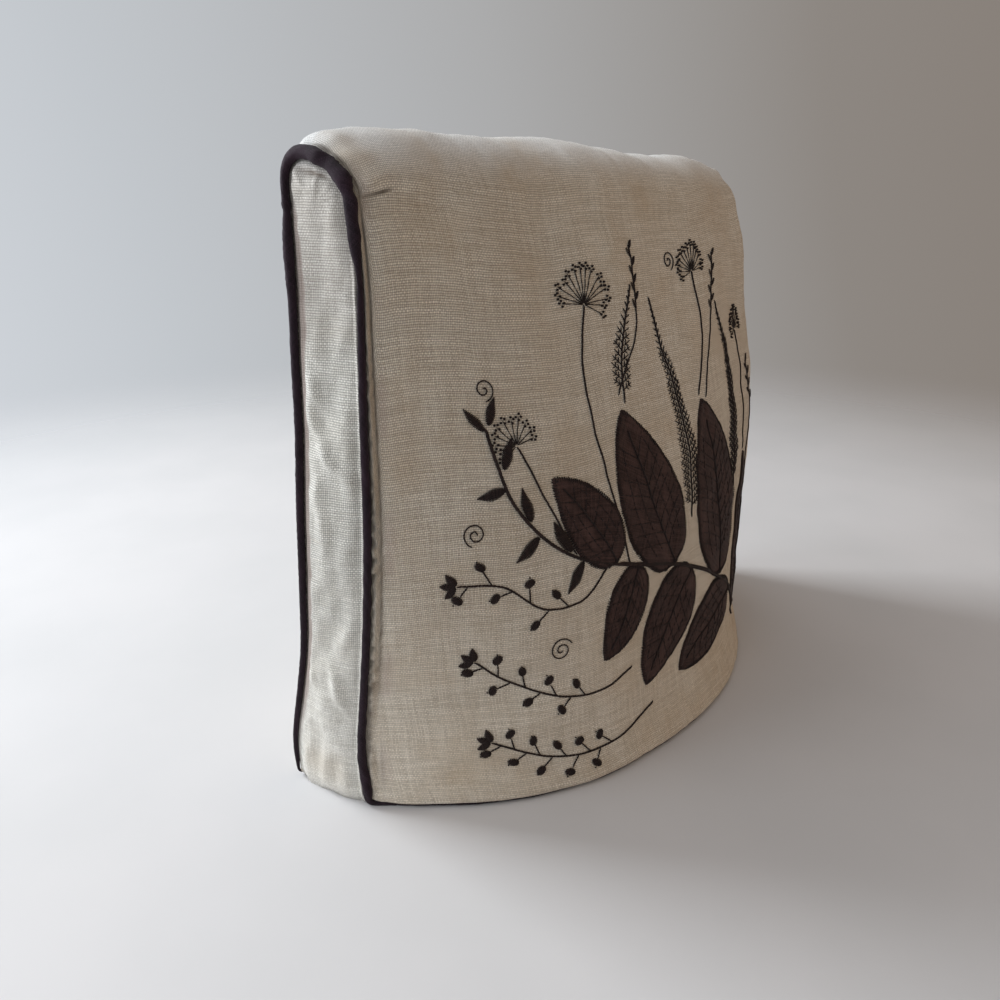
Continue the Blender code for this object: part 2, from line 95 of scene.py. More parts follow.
# Soft dents (-) and ridges (+): side 0 front, 1 left gusset, 2 top, 3 back, 4 right gusset; centre
# across and up (on the top: across and from front to back), direction, half length, half width, depth.
FOLDS = (
    (0, -108.0, 236.0, 8.0, 16.0, 3.5, -1.8),
    (0, -56.0, 222.0, 85.0, 26.0, 15.0, -2.6),
    (0, -20.0, 215.0, 95.0, 34.0, 9.0, 1.8),
    (0, 20.0, 224.0, 80.0, 24.0, 14.0, -1.6),
    (0, -92.0, 52.0, 4.0, 34.0, 7.0, -1.5),
    (0, -78.0, 34.0, 3.0, 40.0, 6.0, 1.2),
    (0, 40.0, 24.0, -6.0, 50.0, 9.0, -1.4),
    # finer ones, of the cloth alone
    (0, -128.5, 237.6, 15.0, 11.0, 1.5, -2.6),
    (0, -127.0, 242.0, 15.0, 11.0, 2.6, 1.4),
    (0, -92.0, 190.0, 60.0, 22.0, 9.0, -0.7),
    (0, -118.0, 170.0, 80.0, 34.0, 5.0, -0.8),
    (0, -70.0, 150.0, 35.0, 34.0, 12.0, 0.8),
    (0, -112.0, 66.0, 2.0, 20.0, 2.6, -0.9),
    (0, -104.0, 44.0, 6.0, 26.0, 2.8, -0.8),
    (0, -60.0, 100.0, -30.0, 34.0, 12.0, -0.7),
    (0, 10.0, 185.0, 70.0, 30.0, 10.0, -0.7),
    (0, 84.0, 222.0, 75.0, 20.0, 9.0, -1.2),
    (0, 112.0, 205.0, 65.0, 26.0, 7.0, 1.2),
    (0, 100.0, 30.0, 12.0, 26.0, 7.0, -1.2),
    (0, 20.0, 12.0, 2.0, 26.0, 4.0, 0.8),
    (1, 0.0, 245.4, 11.0, 7.5, 1.3, -1.9),
    (1, 1.0, 250.0, 11.0, 7.0, 2.2, 0.9),
    (1, 0.0, 205.0, 0.0, 12.0, 24.0, -2.6),
    (1, -1.0, 172.0, -62.0, 20.0, 4.5, -1.9),
    (1, -2.0, 84.0, -70.0, 20.0, 5.0, -2.0),
    (1, 0.0, 40.0, 75.0, 18.0, 5.0, 1.2),
    (1, 6.5, 178.0, 67.0, 9.0, 2.4, 2.0),
    (1, 5.0, 162.0, 63.0, 11.0, 2.2, 1.9),
    (1, 0.8, 152.0, 50.0, 5.0, 2.0, 1.5),
    (1, -5.0, 147.0, 37.0, 10.0, 2.0, 1.8),
    (1, 3.0, 128.0, 84.0, 14.0, 2.6, 1.6),
    (1, 6.0, 111.0, 9.0, 5.0, 1.6, 0.9),
    (1, -3.2, 59.0, 63.0, 10.0, 2.0, 1.8),
    (1, 8.4, 60.0, 80.0, 8.0, 1.8, 1.5),
    (1, -5.6, 50.0, 60.0, 8.0, 1.8, 1.5),
    (4, -1.0, 176.0, -62.0, 20.0, 4.0, -1.5),
    (4, 2.0, 132.0, 55.0, 18.0, 4.0, 1.3),
    (4, -2.0, 84.0, -70.0, 20.0, 4.5, -1.6),
    (4, 0.0, 40.0, 75.0, 18.0, 5.0, 1.4),
    (3, -60.0, 190.0, 70.0, 40.0, 14.0, -1.2),
    (3, 40.0, 150.0, 110.0, 50.0, 16.0, 1.0),
    (3, 0.0, 40.0, 5.0, 60.0, 9.0, -1.3),
    # the right end's puff beside its seam, and the waist above its flared hem
    (0, 112.0, 150.0, 90.0, 62.0, 9.5, 2.5),
    (0, 110.0, 222.0, 84.0, 26.0, 9.5, 2.5),
    (0, 118.0, 28.0, 3.0, 30.0, 6.5, -3.4),
    (0, 118.0, 11.0, 3.0, 28.0, 5.0, 1.0),
)


# ---- helpers ----
def smooth_table(rows, at):
    """Catmull-Rom through the rows' first column, for every other column."""
    rows = np.asarray(rows, float)
    at = np.clip(np.asarray(at, float), rows[0, 0], rows[-1, 0])
    slopes = np.gradient(rows[:, 1:], rows[:, 0], axis=0)
    i = np.clip(np.searchsorted(rows[:, 0], at, side="right") - 1, 0, len(rows) - 2)
    step = rows[i + 1, 0] - rows[i, 0]
    t = ((at - rows[i, 0]) / step)[..., None]
    step = step[..., None]
    p0, p1 = rows[i, 1:], rows[i + 1, 1:]
    m0, m1 = slopes[i] * step, slopes[i + 1] * step
    t2, t3 = t * t, t * t * t
    return (2 * t3 - 3 * t2 + 1) * p0 + (t3 - 2 * t2 + t) * m0 + (3 * t2 - 2 * t3) * p1 + (t3 - t2) * m1


def unit(v):
    return v / np.maximum(np.linalg.norm(v, axis=-1, keepdims=True), 1e-9)


def ramp(x, low, high):
    t = np.clip((x - low) / (high - low), 0, 1)
    return t * t * (3 - 2 * t)


def bell(x, width):
    return np.exp(-((x / width) ** 2))


def waves(x, length, seed, count=7):
    """Smooth seeded unevenness along one line, about -1 to 1."""
    rng = np.random.default_rng(seed)
    total = 0.0
    for _ in range(count):
        total = total + np.cos(x * 2 * math.pi / (length * rng.uniform(0.6, 1.7)) + rng.uniform(0, 6.283))
    return total / math.sqrt(count)


def rumple(a, b, size_a, size_b, seed, count=22):
    """Smooth seeded unevenness over a surface, about -1 to 1."""
    rng = np.random.default_rng(seed)
    total = 0.0
    for _ in range(count):
        turn = rng.uniform(0, math.pi)
        ka = 2 * math.pi * math.cos(turn) / size_a * rng.uniform(0.6, 1.6)
        kb = 2 * math.pi * math.sin(turn) / size_b * rng.uniform(0.6, 1.6)
        total = total + np.cos(a * ka + b * kb + rng.uniform(0, 6.283))
    return total / math.sqrt(count)


def grid_normals(points):
    """The way out of a grid of points, whose rows run up and whose columns run to the right."""
    return unit(np.cross(np.gradient(points, axis=1), np.gradient(points, axis=0)))


def fold_height(side, across, up):
    """What one side's folds add to its surface."""
    total = np.zeros(np.broadcast(across, up).shape)
    for row_side, cx, cz, deg, half_len, half_wide, depth in FOLDS:
        if row_side == side:
            c, s = math.cos(math.radians(deg)), math.sin(math.radians(deg))
            along = (across - cx) * c + (up - cz) * s
            off = -(across - cx) * s + (up - cz) * c
            total += depth * np.exp(-((off / half_wide) ** 2) - (along / half_len) ** 2)
    return total


# ---- the wrap cloth's surface ----
EDGE_STEPS = (0, .4, .8, 1.2, 1.55, 1.9, 2.2, 2.5, 2.8, 3.1, 3.4, 3.7, 4.0, 4.35, 4.8, 5.4, 6.2, 7.2, 8.6,
              10.2, 12.2, 14.4)
MID_COLUMNS, WALL_STEPS, CAP_STEPS = 118, 112, 44


def panel_at(us, z):
    """The panels' measures at height z, for the shares us of the half width from left to right."""
    r = smooth_table(PANEL_ROWS, z)
    sag = smooth_table(RIGHT_SAG, z)[..., 0] * np.clip(us * 4, 0, 1)
    r[..., 0] -= sag
    r[..., 2] -= sag
    r[..., 1] += smooth_table(RIGHT_BACK, z)[..., 0] * ramp(us, 0.45, 1.0)
    shift = sum(by * bell(z - at, reach) for at, reach, by in BACK_LEFT_SHIFTS)
    r[..., 3] += shift * ramp(-us, 0.88, 1.0)
    return r


def wrap_base(us, walls, caps):
    """The padded surface without seams: rows from the front hem over the top to the back hem."""
    top = smooth_table(TOP_ROWS, us)
    top_z, round_h = top[:, 0], top[:, 1]
    spring = top_z - round_h
    power = np.where(us < 0, FRONT_POWER_LEFT, FRONT_POWER_RIGHT)
    front_share = 1 - np.abs(us) ** power
    back_share = 1 - np.abs(us) ** BACK_POWER
    rows = []
    for t in walls:
        z = HEM_Z + (spring - HEM_Z) * t
        r = panel_at(us, z)
        rows.append(np.stack([us * r[:, 0], r[:, 1] - r[:, 4] * front_share, z], -1))
    r = panel_at(us, spring)
    y_front = r[:, 1] - r[:, 4] * front_share
    y_back = r[:, 3] + r[:, 5] * back_share
    mid, half = (y_front + y_back) / 2, (y_back - y_front) / 2
    for angle in caps:
        rise, k = math.cos(angle), math.sin(angle)
        x = us * (r[:, 0] + (r[:, 2] - r[:, 0]) * (k + 1) / 2 - TOP_DRAW * rise * (us > 0))
        lean = TOP_LEAN * np.abs(rise) ** 1.5
        rows.append(np.stack([x, mid + half * k + lean, spring + round_h * rise], -1))
    for t in walls[::-1]:
        z = HEM_Z + (spring - HEM_Z) * t
        r = panel_at(us, z)
        rows.append(np.stack([us * r[:, 2], r[:, 3] + r[:, 5] * back_share, z], -1))
    return np.array(rows)


CROWN_SHARE = 0.22                         # of the arch, where the gusset keeps the way it faces


def seam_frames(base, normals):
    """Along the left seam: its line, the gusset's outward normal, the bisector, and into the wrap."""
    line = base[:, 0]
    half = len(line) // 2
    chord = unit(line[::-1] - line)
    chord[half:] = unit(line - line[::-1])[half:]
    flat = int(CAP_STEPS * CROWN_SHARE)
    chord[half - flat: half + flat + 1] = chord[half - flat - 1]
    gusset_n = unit(np.cross(UP, chord))
    middle = unit(normals[:, 0] + gusset_n)
    cosine = np.clip((middle * normals[:, 0]).sum(-1, keepdims=True), 0.6, 1)
    tangent = unit(np.gradient(line, axis=0))
    into_wrap = unit(np.cross(middle, tangent))
    into_wrap *= np.sign(into_wrap[:, :1] + 1e-9)
    steps = np.linalg.norm(np.diff(line, axis=0, prepend=line[:1]), axis=1).cumsum()
    return dict(line=line, gusset_n=gusset_n, middle=middle, cosine=cosine, into_wrap=into_wrap, s=steps)


SEAM_SCALE = PANEL_ROWS[5][1]              # turns a share of the half width into mm from the seam
EDGE = np.array(EDGE_STEPS) / SEAM_SCALE
US = np.concatenate([-1 + EDGE, np.linspace(-1 + EDGE[-1], 1 - EDGE[-1], MID_COLUMNS + 1)[1:-1],
                     (1 - EDGE)[::-1]])
EDGE_MM = (1 - np.abs(US)) * SEAM_SCALE
WALLS = np.concatenate([[0, .006, .013, .021], np.linspace(0, 1, WALL_STEPS + 1)[3:-1]])
CAPS = np.linspace(-math.pi / 2, math.pi / 2, CAP_STEPS + 1)
BASE = wrap_base(US, WALLS, CAPS)
NORMALS = grid_normals(BASE)
ROWS, COLUMNS = BASE.shape[:2]
HALF = ROWS // 2
LEFT = seam_frames(BASE, NORMALS)
RIGHT = seam_frames(BASE[:, ::-1] * MIRROR, NORMALS[:, ::-1] * MIRROR)


NEAR = bell(EDGE_MM, VALLEY_WIDTH)[None, :, None]
ON_LEFT = US[None, :, None] < 0


def at_ends(key, mirror=1.0):
    """One of the seam frames' values, in each column that of the seam on its side."""
    return np.where(ON_LEFT, LEFT[key][:, None], RIGHT[key][:, None] * mirror)


MIDDLE = at_ends("middle", MIRROR)
# Beside a seam: how far away it lies, its half width and its height or depth
LIP_AT, LIP_WIDE, LIP_HIGH = 1.95, 0.70, 2.15
GROOVE_AT, GROOVE_WIDE, GROOVE_DEEP = 1.45, 0.42, 0.85       # its distance is from the lip
PUFF_AT, PUFF_WIDE, PUFF_HIGH = 3.2, 1.9, 1.1
SWELL_AT, SWELL_WIDE, SWELL_HIGH = 6.8, 4.6, 1.3
# Heights between which the lip rises, ends, and grows finer from its lower form
LIP_START, LIP_END, FINER = (30, 62), (226, 240), (150, 215)
STITCH_PITCH = 3.4
HEM_REACH, HEM_TURN, QUARTER_TURN = 7.0, 1.75, 1.57


def seam_profile(d, s, z, front, seed):
    """How far the cloth lies above the plain surface, d from a seam: valley, stitched lip and groove."""
    lip = np.where(front, ramp(z, *LIP_START) * (1 - ramp(z, *LIP_END)) + 0.8 * bell(z - 17, 9), 0.45)
    lip = lip * (0.92 + 0.14 * waves(s, 17.0, seed + 2))
    low = 1 - ramp(z, *FINER)
    scallop = waves(s, 5.2, seed + 4)
    crest = LIP_AT + 0.40 * low - 0.50 * scallop * low
    groove = crest + GROOVE_AT + 0.25 * low
    height = -VALLEY * bell(d, VALLEY_WIDTH)
    height += lip * (LIP_HIGH + 0.45 * scallop) * bell(d - crest, LIP_WIDE + 0.30 * low)
    height += (1 - lip) * (1 - ramp(z, 50, 75)) * PUFF_HIGH * bell(d - PUFF_AT, PUFF_WIDE)
    height -= lip * (GROOVE_DEEP - 0.1 * low) * bell(d - groove, GROOVE_WIDE + 0.10 * low)
    # the groove's stitches pull the cloth in at every few millimetres
    height -= lip * 0.16 * bell(d - 5.2, 1.6) * (0.5 + 0.5 * np.cos(s * 2 * math.pi / STITCH_PITCH))
    height += (1 - lip) * 0.35 * bell(d - PUFF_AT, 1.6) * waves(s, 7.0, seed + 3)
    # over the arch the padding swells beside the piping
    height += SWELL_HIGH * bell(s - s[HALF] - 6, 24.0) * bell(d - SWELL_AT, SWELL_WIDE)
    return height


def wrap_outer():
    """The wrap's outer cloth with its seams and folds, as a grid of points."""
    shift = at_ends("into_wrap", MIRROR)
    left = ON_LEFT[..., 0]
    s = np.where(left, LEFT["s"][:, None], RIGHT["s"][:, None])
    front = np.zeros((ROWS, COLUMNS), bool)
    front[:HALF] = True
    x, z = BASE[..., 0], BASE[..., 2]
    d = np.broadcast_to(EDGE_MM[None], z.shape)
    profile = np.where(left, seam_profile(d, s, z, front, 11), seam_profile(d, s, z, front, 41))
    swell = np.where(NORMALS[..., 1] < 0.2, fold_height(0, x, z), 0.0)
    swell += fold_height(3, x, z) * ramp(NORMALS[..., 1], 0.3, 0.9)
    swell += fold_height(2, x, BASE[..., 1]) * ramp(NORMALS[..., 2], 0.3, 0.8)
    swell += 0.28 * rumple(x, s, 34, 26, 5) + 0.10 * rumple(x, s, 11, 8, 6)
    # short puckers that run from the seams into the panel
    reach = bell(d - 7, 7.0)
    swell += 0.30 * reach * waves(s + d * 0.25, 9.0, 71) * (0.6 + 0.4 * waves(s, 40.0, 72))
    clear = 1 - bell(d, 4.0)
    outward = unit(NORMALS * (1 - NEAR) + MIDDLE * NEAR)
    outward[..., 2:] *= (1 - bell(z - HEM_Z, HEM_REACH))[..., None]
    outer = BASE + NORMALS * (swell * clear)[..., None] + outward * profile[..., None]
    outer = outer + shift * 0.12 * NEAR
    outer[0, :, 2] = outer[-1, :, 2] = HEM_Z
    return outer


def hem_roll(row, inward, drop, steps=5):
    """Rows of the hem's rolled edge, from the last one to the cloth above it."""
    made = []
    r = drop[:, None]
    for k in range(steps, 0, -1):
        turn = k / steps * HEM_TURN
        under = inward * r * 0.9 * (1 - math.cos(turn))
        made.append(row + under - UP * r * math.sin(min(turn, QUARTER_TURN)))
    return made


# ---- mesh makers ----
def new_object(name, points, faces, material, **maps):
    """Smooth mesh object from points in mm, with named maps that hold one vector for each point."""
    mesh = bpy.data.meshes.new(name)
    mesh.from_pydata((np.asarray(points) * MM).tolist(), [], faces)
    mesh.materials.append(material)
    for key, vectors in maps.items():
        layer = mesh.attributes.new(key, "FLOAT_VECTOR", "POINT")
        layer.data.foreach_set("vector", np.asarray(vectors, np.float32).ravel())
    mesh.shade_smooth()
    obj = bpy.data.objects.new(name, mesh)
    bpy.context.scene.collection.objects.link(obj)
    return obj


def grid_faces(rows, columns, start=0, flip=False):
    i, j = np.meshgrid(np.arange(rows - 1), np.arange(columns - 1), indexing="ij")
    a = (start + i * columns + j).ravel()
    quads = np.stack([a, a + 1, a + columns + 1, a + columns], -1)
    return (quads[:, ::-1] if flip else quads).tolist()


def arc(points, axis):
    """Length along one axis of a grid, from its start."""
    step = np.linalg.norm(np.diff(points, axis=axis), axis=-1)
    zero = np.zeros_like(np.take(step, [0], axis=axis))
    return np.concatenate([zero, np.cumsum(step, axis=axis)], axis=axis)


def shell(outer, inner):
    """Closed padded shell: a fine outer grid and an inner one with every second row and column."""
    rows, columns = outer.shape[:2]
    in_rows, in_columns = inner.shape[:2]
    count = rows * columns
    points = np.concatenate([outer.reshape(-1, 3), inner.reshape(-1, 3)])
    faces = grid_faces(rows, columns) + grid_faces(in_rows, in_columns, count, flip=True)

    def rim(fine, coarse):
        for k in range(len(coarse) - 1):
            ring = fine[2 * k + 2], fine[2 * k + 1], fine[2 * k], coarse[k], coarse[k + 1]
            faces.append([int(v) for v in ring])

    fine = np.arange(count).reshape(rows, columns)
    coarse = count + np.arange(in_rows * in_columns).reshape(in_rows, in_columns)
    rim(fine[0], coarse[0])
    rim(fine[-1, ::-1], coarse[-1, ::-1])
    rim(fine[::-1, 0], coarse[::-1, 0])
    rim(fine[:, -1], coarse[:, -1])
    return points, faces


# ---- materials ----
class Nodes:
    """Short writing for a material's node tree."""

    def __init__(self, name):
        self.material = bpy.data.materials.new(name)
        self.material.use_nodes = True
        self.tree = self.material.node_tree
        self.shader = self.tree.nodes["Principled BSDF"]

    def add(self, kind, **settings):
        node = self.tree.nodes.new(kind)
        for key, value in settings.items():
            setattr(node, key, value)
        return node

    def put(self, socket, value):
        if isinstance(value, bpy.types.NodeSocket):
            self.tree.links.new(value, socket)
        elif value is not None:
            socket.default_value = value

    def math(self, operation, a, b=None, c=None, clamp=False):
        node = self.add("ShaderNodeMath", operation=operation, use_clamp=clamp)
        for socket, value in zip(node.inputs, (a, b, c)):
            self.put(socket, value)
        return node.outputs[0]

    def times(self, a, b):
        return self.math("MULTIPLY", a, b)

    def line(self, value, slope, start):
        return self.math("MULTIPLY_ADD", value, slope, start)

    def mix(self, share, a, b, blend="MIX"):
        node = self.add("ShaderNodeMix", data_type="RGBA", blend_type=blend)
        self.put(node.inputs[0], share)
        for socket, value in ((node.inputs[6], a), (node.inputs[7], b)):
            self.put(socket, (*value, 1.0) if isinstance(value, tuple) and len(value) == 3 else value)
        return node.outputs[2]

    def tint(self, colour, share, most, other):
        """The colour with the other one over it, at most this much of it where share is 1."""
        return self.mix(self.times(share, most), colour, other)

    def shaded(self, colour, shade):
        return self.mix(1.0, colour, self.join(shade, shade, shade), "MULTIPLY")

    def blend(self, share, a, b):
        """Number between a and b."""
        node = self.add("ShaderNodeMix", data_type="FLOAT")
        for socket, value in zip(node.inputs[:1] + node.inputs[2:4], (share, a, b)):
            self.put(socket, value)
        return node.outputs[0]

    def attribute(self, name):
        node = self.add("ShaderNodeAttribute", attribute_name=name)
        return node.outputs["Vector"]

    def split(self, vector):
        node = self.add("ShaderNodeSeparateXYZ")
        self.put(node.inputs[0], vector)
        return node.outputs[0], node.outputs[1], node.outputs[2]

    def join(self, x, y, z=0.0):
        node = self.add("ShaderNodeCombineXYZ")
        for socket, value in zip(node.inputs, (x, y, z)):
            self.put(socket, value)
        return node.outputs[0]

    def noise(self, vector, scale, detail, rough=0.5):
        node = self.add("ShaderNodeTexNoise")
        self.put(node.inputs["Vector"], vector)
        node.inputs["Scale"].default_value = scale
        node.inputs["Detail"].default_value = detail
        node.inputs["Roughness"].default_value = rough
        return node.outputs["Fac"]

    def grain(self, where, cells, detail=2.0, rough=0.5):
        """Noise with this many cells in each mm of the map."""
        node = self.add("ShaderNodeVectorMath", operation="MULTIPLY")
        self.put(node.inputs[0], where)
        node.inputs[1].default_value = cells
        return self.noise(node.outputs[0], 1.0, detail, rough)

    def step(self, value, low, high):
        node = self.add("ShaderNodeMapRange", interpolation_type="SMOOTHSTEP")
        self.put(node.inputs[0], value)
        node.inputs[1].default_value, node.inputs[2].default_value = low, high
        return node.outputs[0]

    def bump(self, height, distance, strength):
        node = self.add("ShaderNodeBump")
        self.put(node.inputs["Height"], height)
        node.inputs["Distance"].default_value = distance * MM
        node.inputs["Strength"].default_value = strength
        self.put(self.shader.inputs["Normal"], node.outputs[0])

    def finish(self, colour, rough, sheen, specular):
        self.put(self.shader.inputs["Base Color"], colour)
        self.put(self.shader.inputs["Roughness"], rough)
        self.shader.inputs["Sheen Weight"].default_value = sheen
        self.shader.inputs["Sheen Roughness"].default_value = 0.45
        self.shader.inputs["Specular IOR Level"].default_value = specular
        return self.material


LINEN_WARP, LINEN_WEFT, BINDING_THREAD = 0.669, 0.874, 0.52         # threads' pitches
TOP_HIGHLIGHT, SLUB, SPECK, LINT = (0.96, 0.95, 0.93), (0.72, 0.66, 0.56), (0.16, 0.10, 0.06), (0.20, 0.17, 0.18)
TAN, BLUSH, SHADE_BROWN, CREASE_SHADOW_TONE = (0.46, 0.33, 0.19), (0.42, 0.32, 0.28), (0.11, 0.075, 0.05), (0.09, 0.07, 0.05)
# In metres: heights and depths between which the top gets a painted highlight, and the weave grows crisp
HIGHLIGHT_UP, HIGHLIGHT_BACK, CRISP_UP, CRISP_ACROSS = (0.240, 0.257), (-0.012, 0.02), (0.02, 0.12), (-0.09, 0.02)
# Painted shadow line in the sharp pucker at the front's upper left, in metres: middle, direction, where it
# fades
PUCKER_X, PUCKER_Z, PUCKER_COS, PUCKER_SIN = -0.1262, 0.2379, 0.966, 0.259
PUCKER_OFF, PUCKER_ALONG, PUCKER_BACK = (0.0010, 0.0002), (0.014, 0.008), (0.012, 0.006)


def weave(n, where, warp, weft, wobble):
    """Plain weave on a map in mm: (height 0 to 1, thread tone 0 to 1)."""
    x, y, _ = n.split(where)
    drift = n.grain(where, (0.05, 0.05, 0.05))
    x = n.math("ADD", x, n.times(n.math("SUBTRACT", drift, 0.5), 2.2))
    fine = n.grain(where, (0.25, 0.5, 0.3))
    y = n.math("ADD", y, n.times(n.math("SUBTRACT", fine, 0.5), 4 * wobble))
    u, v = n.math("DIVIDE", x, warp), n.math("DIVIDE", y, weft)
    iu, iv = n.math("FLOOR", u), n.math("FLOOR", v)
    cu, cv = (n.math("ABSOLUTE", n.math("SINE", n.times(w, math.pi))) for w in (u, v))
    odd = n.math("ABSOLUTE", n.math("MODULO", n.math("ADD", iu, iv), 2.0))
    warp_high = n.times(cu, n.line(cv, 0.62, 0.24))
    weft_high = n.times(cv, n.line(cu, 0.30, 0.70))
    warp_tone = n.noise(n.join(n.times(iu, 3.7), n.times(y, 0.045)), 1.0, 1.0)
    weft_tone = n.noise(n.join(n.times(x, 0.05), n.times(iv, 5.3), 9.0), 1.0, 1.0)
    return n.blend(odd, warp_high, weft_high), n.blend(odd, warp_tone, weft_tone)


def pucker_shadow_line(n, across, back, up):
    """Where the sharp pucker's painted shadow line lies, 0 to 1."""
    dx, dz = n.math("SUBTRACT", across, PUCKER_X), n.math("SUBTRACT", up, PUCKER_Z)
    along = n.math("ABSOLUTE", n.line(dx, PUCKER_COS, n.times(dz, PUCKER_SIN)))
    off = n.math("ABSOLUTE", n.line(dx, -PUCKER_SIN, n.times(dz, PUCKER_COS)))
    line = n.times(n.step(off, *PUCKER_OFF), n.step(along, *PUCKER_ALONG))
    return n.times(line, n.step(back, *PUCKER_BACK))


def linen(name, light, dark, warmth):
    """Undyed linen of uneven threads, with a painted highlight on top, slubs, specks, stains, painted shade
    in grooves and creases, and a painted shadow line in the pucker.
    """
    n = Nodes(name)
    where = n.attribute("cloth")
    # the wear map: painted shade, blush (with painted shade high on the gussets), tan stains
    painted_shade, blush, tan = n.split(n.attribute("wear"))
    height, tone = weave(n, where, LINEN_WARP, LINEN_WEFT, 0.13)
    patches = n.grain(where, (0.018, 0.024, 0.02), 4.0, 0.6)
    small = n.grain(where, (0.55, 0.75, 0.5), 3.0, 0.6)
    speck = n.step(n.grain(where, (0.9, 1.5, 1.0), 1.0), 0.735, 0.80)
    slub = n.step(n.grain(where, (0.10, 1.1, 0.7), 1.0), 0.66, 0.76)
    colour = n.mix(n.step(tone, 0.30, 0.70), dark, light)
    colour = n.tint(colour, n.step(patches, 0.42, 0.72), 0.55, warmth)
    across, back, up = n.split(n.add("ShaderNodeNewGeometry").outputs["Position"])
    # painted highlight on the top, where the light falls on it, stronger towards the back
    painted_top_light = n.times(n.step(up, *HIGHLIGHT_UP), n.line(n.step(back, *HIGHLIGHT_BACK), 0.45, 0.45))
    colour = n.mix(painted_top_light, colour, TOP_HIGHLIGHT)
    # the weave shows less low down and towards the right
    pit = n.math("POWER", n.math("SUBTRACT", 1.0, height, clamp=True), 1.8)
    crisp = n.times(n.step(up, *CRISP_UP), n.blend(n.step(across, *CRISP_ACROSS), 1.0, 0.5))
    shade = n.line(pit, n.blend(crisp, -0.48, -0.84), 1.06)
    colour = n.shaded(colour, n.times(shade, n.line(small, 0.5, 0.75)))
    # painted shadow line along the sharp pucker's crease
    pucker_shadow = pucker_shadow_line(n, across, back, up)
    for share, most, other in ((slub, 0.35, SLUB), (speck, 0.55, SPECK), (tan, 0.5, TAN),
                               (blush, 0.65, BLUSH), (painted_shade, 0.75, SHADE_BROWN), (pucker_shadow, 0.95, CREASE_SHADOW_TONE)):
        colour = n.tint(colour, share, most, other)
    n.bump(n.math("ADD", height, n.times(slub, 0.4)), 0.16, 0.85)
    return n.finish(colour, n.line(height, -0.12, 0.98), 0.12, 0.2)


def binding(name, base, lit):
    """Dark bias binding: a fine slanting weave, with faint lighter worn patches."""
    n = Nodes(name)
    where = n.attribute("cloth")
    x, y, _ = n.split(where)
    slant = n.join(n.math("ADD", x, y), n.math("SUBTRACT", x, y))
    height, tone = weave(n, slant, BINDING_THREAD, BINDING_THREAD, 0.1)
    patches = n.grain(where, (0.12, 0.05, 0.1), 3.0, 0.6)
    lint = n.step(n.grain(where, (1.3, 0.8, 1.0), 1.0), 0.74, 0.80)
    colour = n.mix(n.step(tone, 0.3, 0.75), base, lit)
    colour = n.shaded(colour, n.line(height, 0.5, 0.6))
    colour = n.tint(colour, n.step(patches, 0.45, 0.75), 0.6, lit)
    colour = n.tint(colour, lint, 0.25, LINT)
    n.bump(height, 0.10, 0.7)
    return n.finish(colour, n.line(patches, 0.25, 0.66), 0.06, 0.16)


def thread(name, base, lit):
    """Two-ply cotton thread with a faint gloss."""
    n = Nodes(name)
    x, y, each = n.split(n.attribute("cloth"))
    twist = n.math("SINE", n.math("ADD", n.times(x, 9.0), n.times(y, 7.5)))
    tone = n.noise(n.join(each, n.times(y, 0.2)), 1.0, 2.0)
    colour = n.mix(n.step(tone, 0.3, 0.75), base, lit)
    n.bump(twist, 0.06, 0.8)
    return n.finish(n.shaded(colour, n.line(twist, 0.16, 0.84)), n.line(tone, 0.2, 0.55), 0.05, 0.22)


# light, dark and warm tones of the linens; deep and worn tones of the dark cloths and the thread
LINEN = linen("linen_front", (0.82, 0.74, 0.625), (0.60, 0.52, 0.415), (0.64, 0.52, 0.385))
# the gussets' linen is paler and cooler than the front's: partly its own tone, partly painted light, as the
# left gusset faces the window
GUSSET_LINEN = linen("linen_gusset", (0.88, 0.85, 0.78), (0.69, 0.66, 0.59), (0.74, 0.69, 0.60))
BINDING = binding("binding_plum", (0.011, 0.0055, 0.0085), (0.036, 0.019, 0.029))
LEAF_CLOTH = binding("applique_brown", (0.018, 0.0088, 0.0080), (0.095, 0.052, 0.045))
THREAD = thread("thread_brown", (0.011, 0.0055, 0.005), (0.040, 0.022, 0.019))


# ---- wrap cloth ----
ROLL_ROWS = 5                              # rows of the hem's rolled edge before the cloth itself
FRONT_DROP, BACK_DROP = 2.35, 2.1          # how far the rolled edge hangs below the cloth
INNER_STEP = 0.3


def flat_map(points, column):
    """Metric map of the wrap: across from one column, and along from the front hem to the back one, with
    the ease of the seams taken up over the top."""
    across, along = arc(points, 1), arc(points, 0)
    total = along[-1] - along[0]
    over = ramp(np.arange(len(points)) - HALF - ROLL_ROWS, -CAP_STEPS * 0.5, CAP_STEPS * 0.5)
    along = along + (total[column] - total) * over[:, None]
    return across - across[:, column:column + 1], along - along[ROLL_ROWS + HALF, column]


def wrap_inner():
    """The wrap's inner cloth, straight across each seam, and the way out of it."""
    into = NORMALS * (1 - NEAR) + MIDDLE / at_ends("cosine") * NEAR
    into[..., 2] *= (1 - bell(BASE[..., 2] - HEM_Z, HEM_REACH))
    inner = BASE - unit(NORMALS * (1 - NEAR) + MIDDLE * NEAR) * (VALLEY * NEAR) - into * WALL
    last = len(EDGE_STEPS) - 1
    share = (EDGE_MM[:last + 1] / EDGE_MM[last])[None, :, None]
    for side in (inner, inner[:, ::-1]):
        side[:, :last + 1] = side[:, :1] * (1 - share) + side[:, last:last + 1] * share
    inner[0, :, 2] = inner[-1, :, 2] = HEM_Z
    return inner, unit(into * LEVEL)


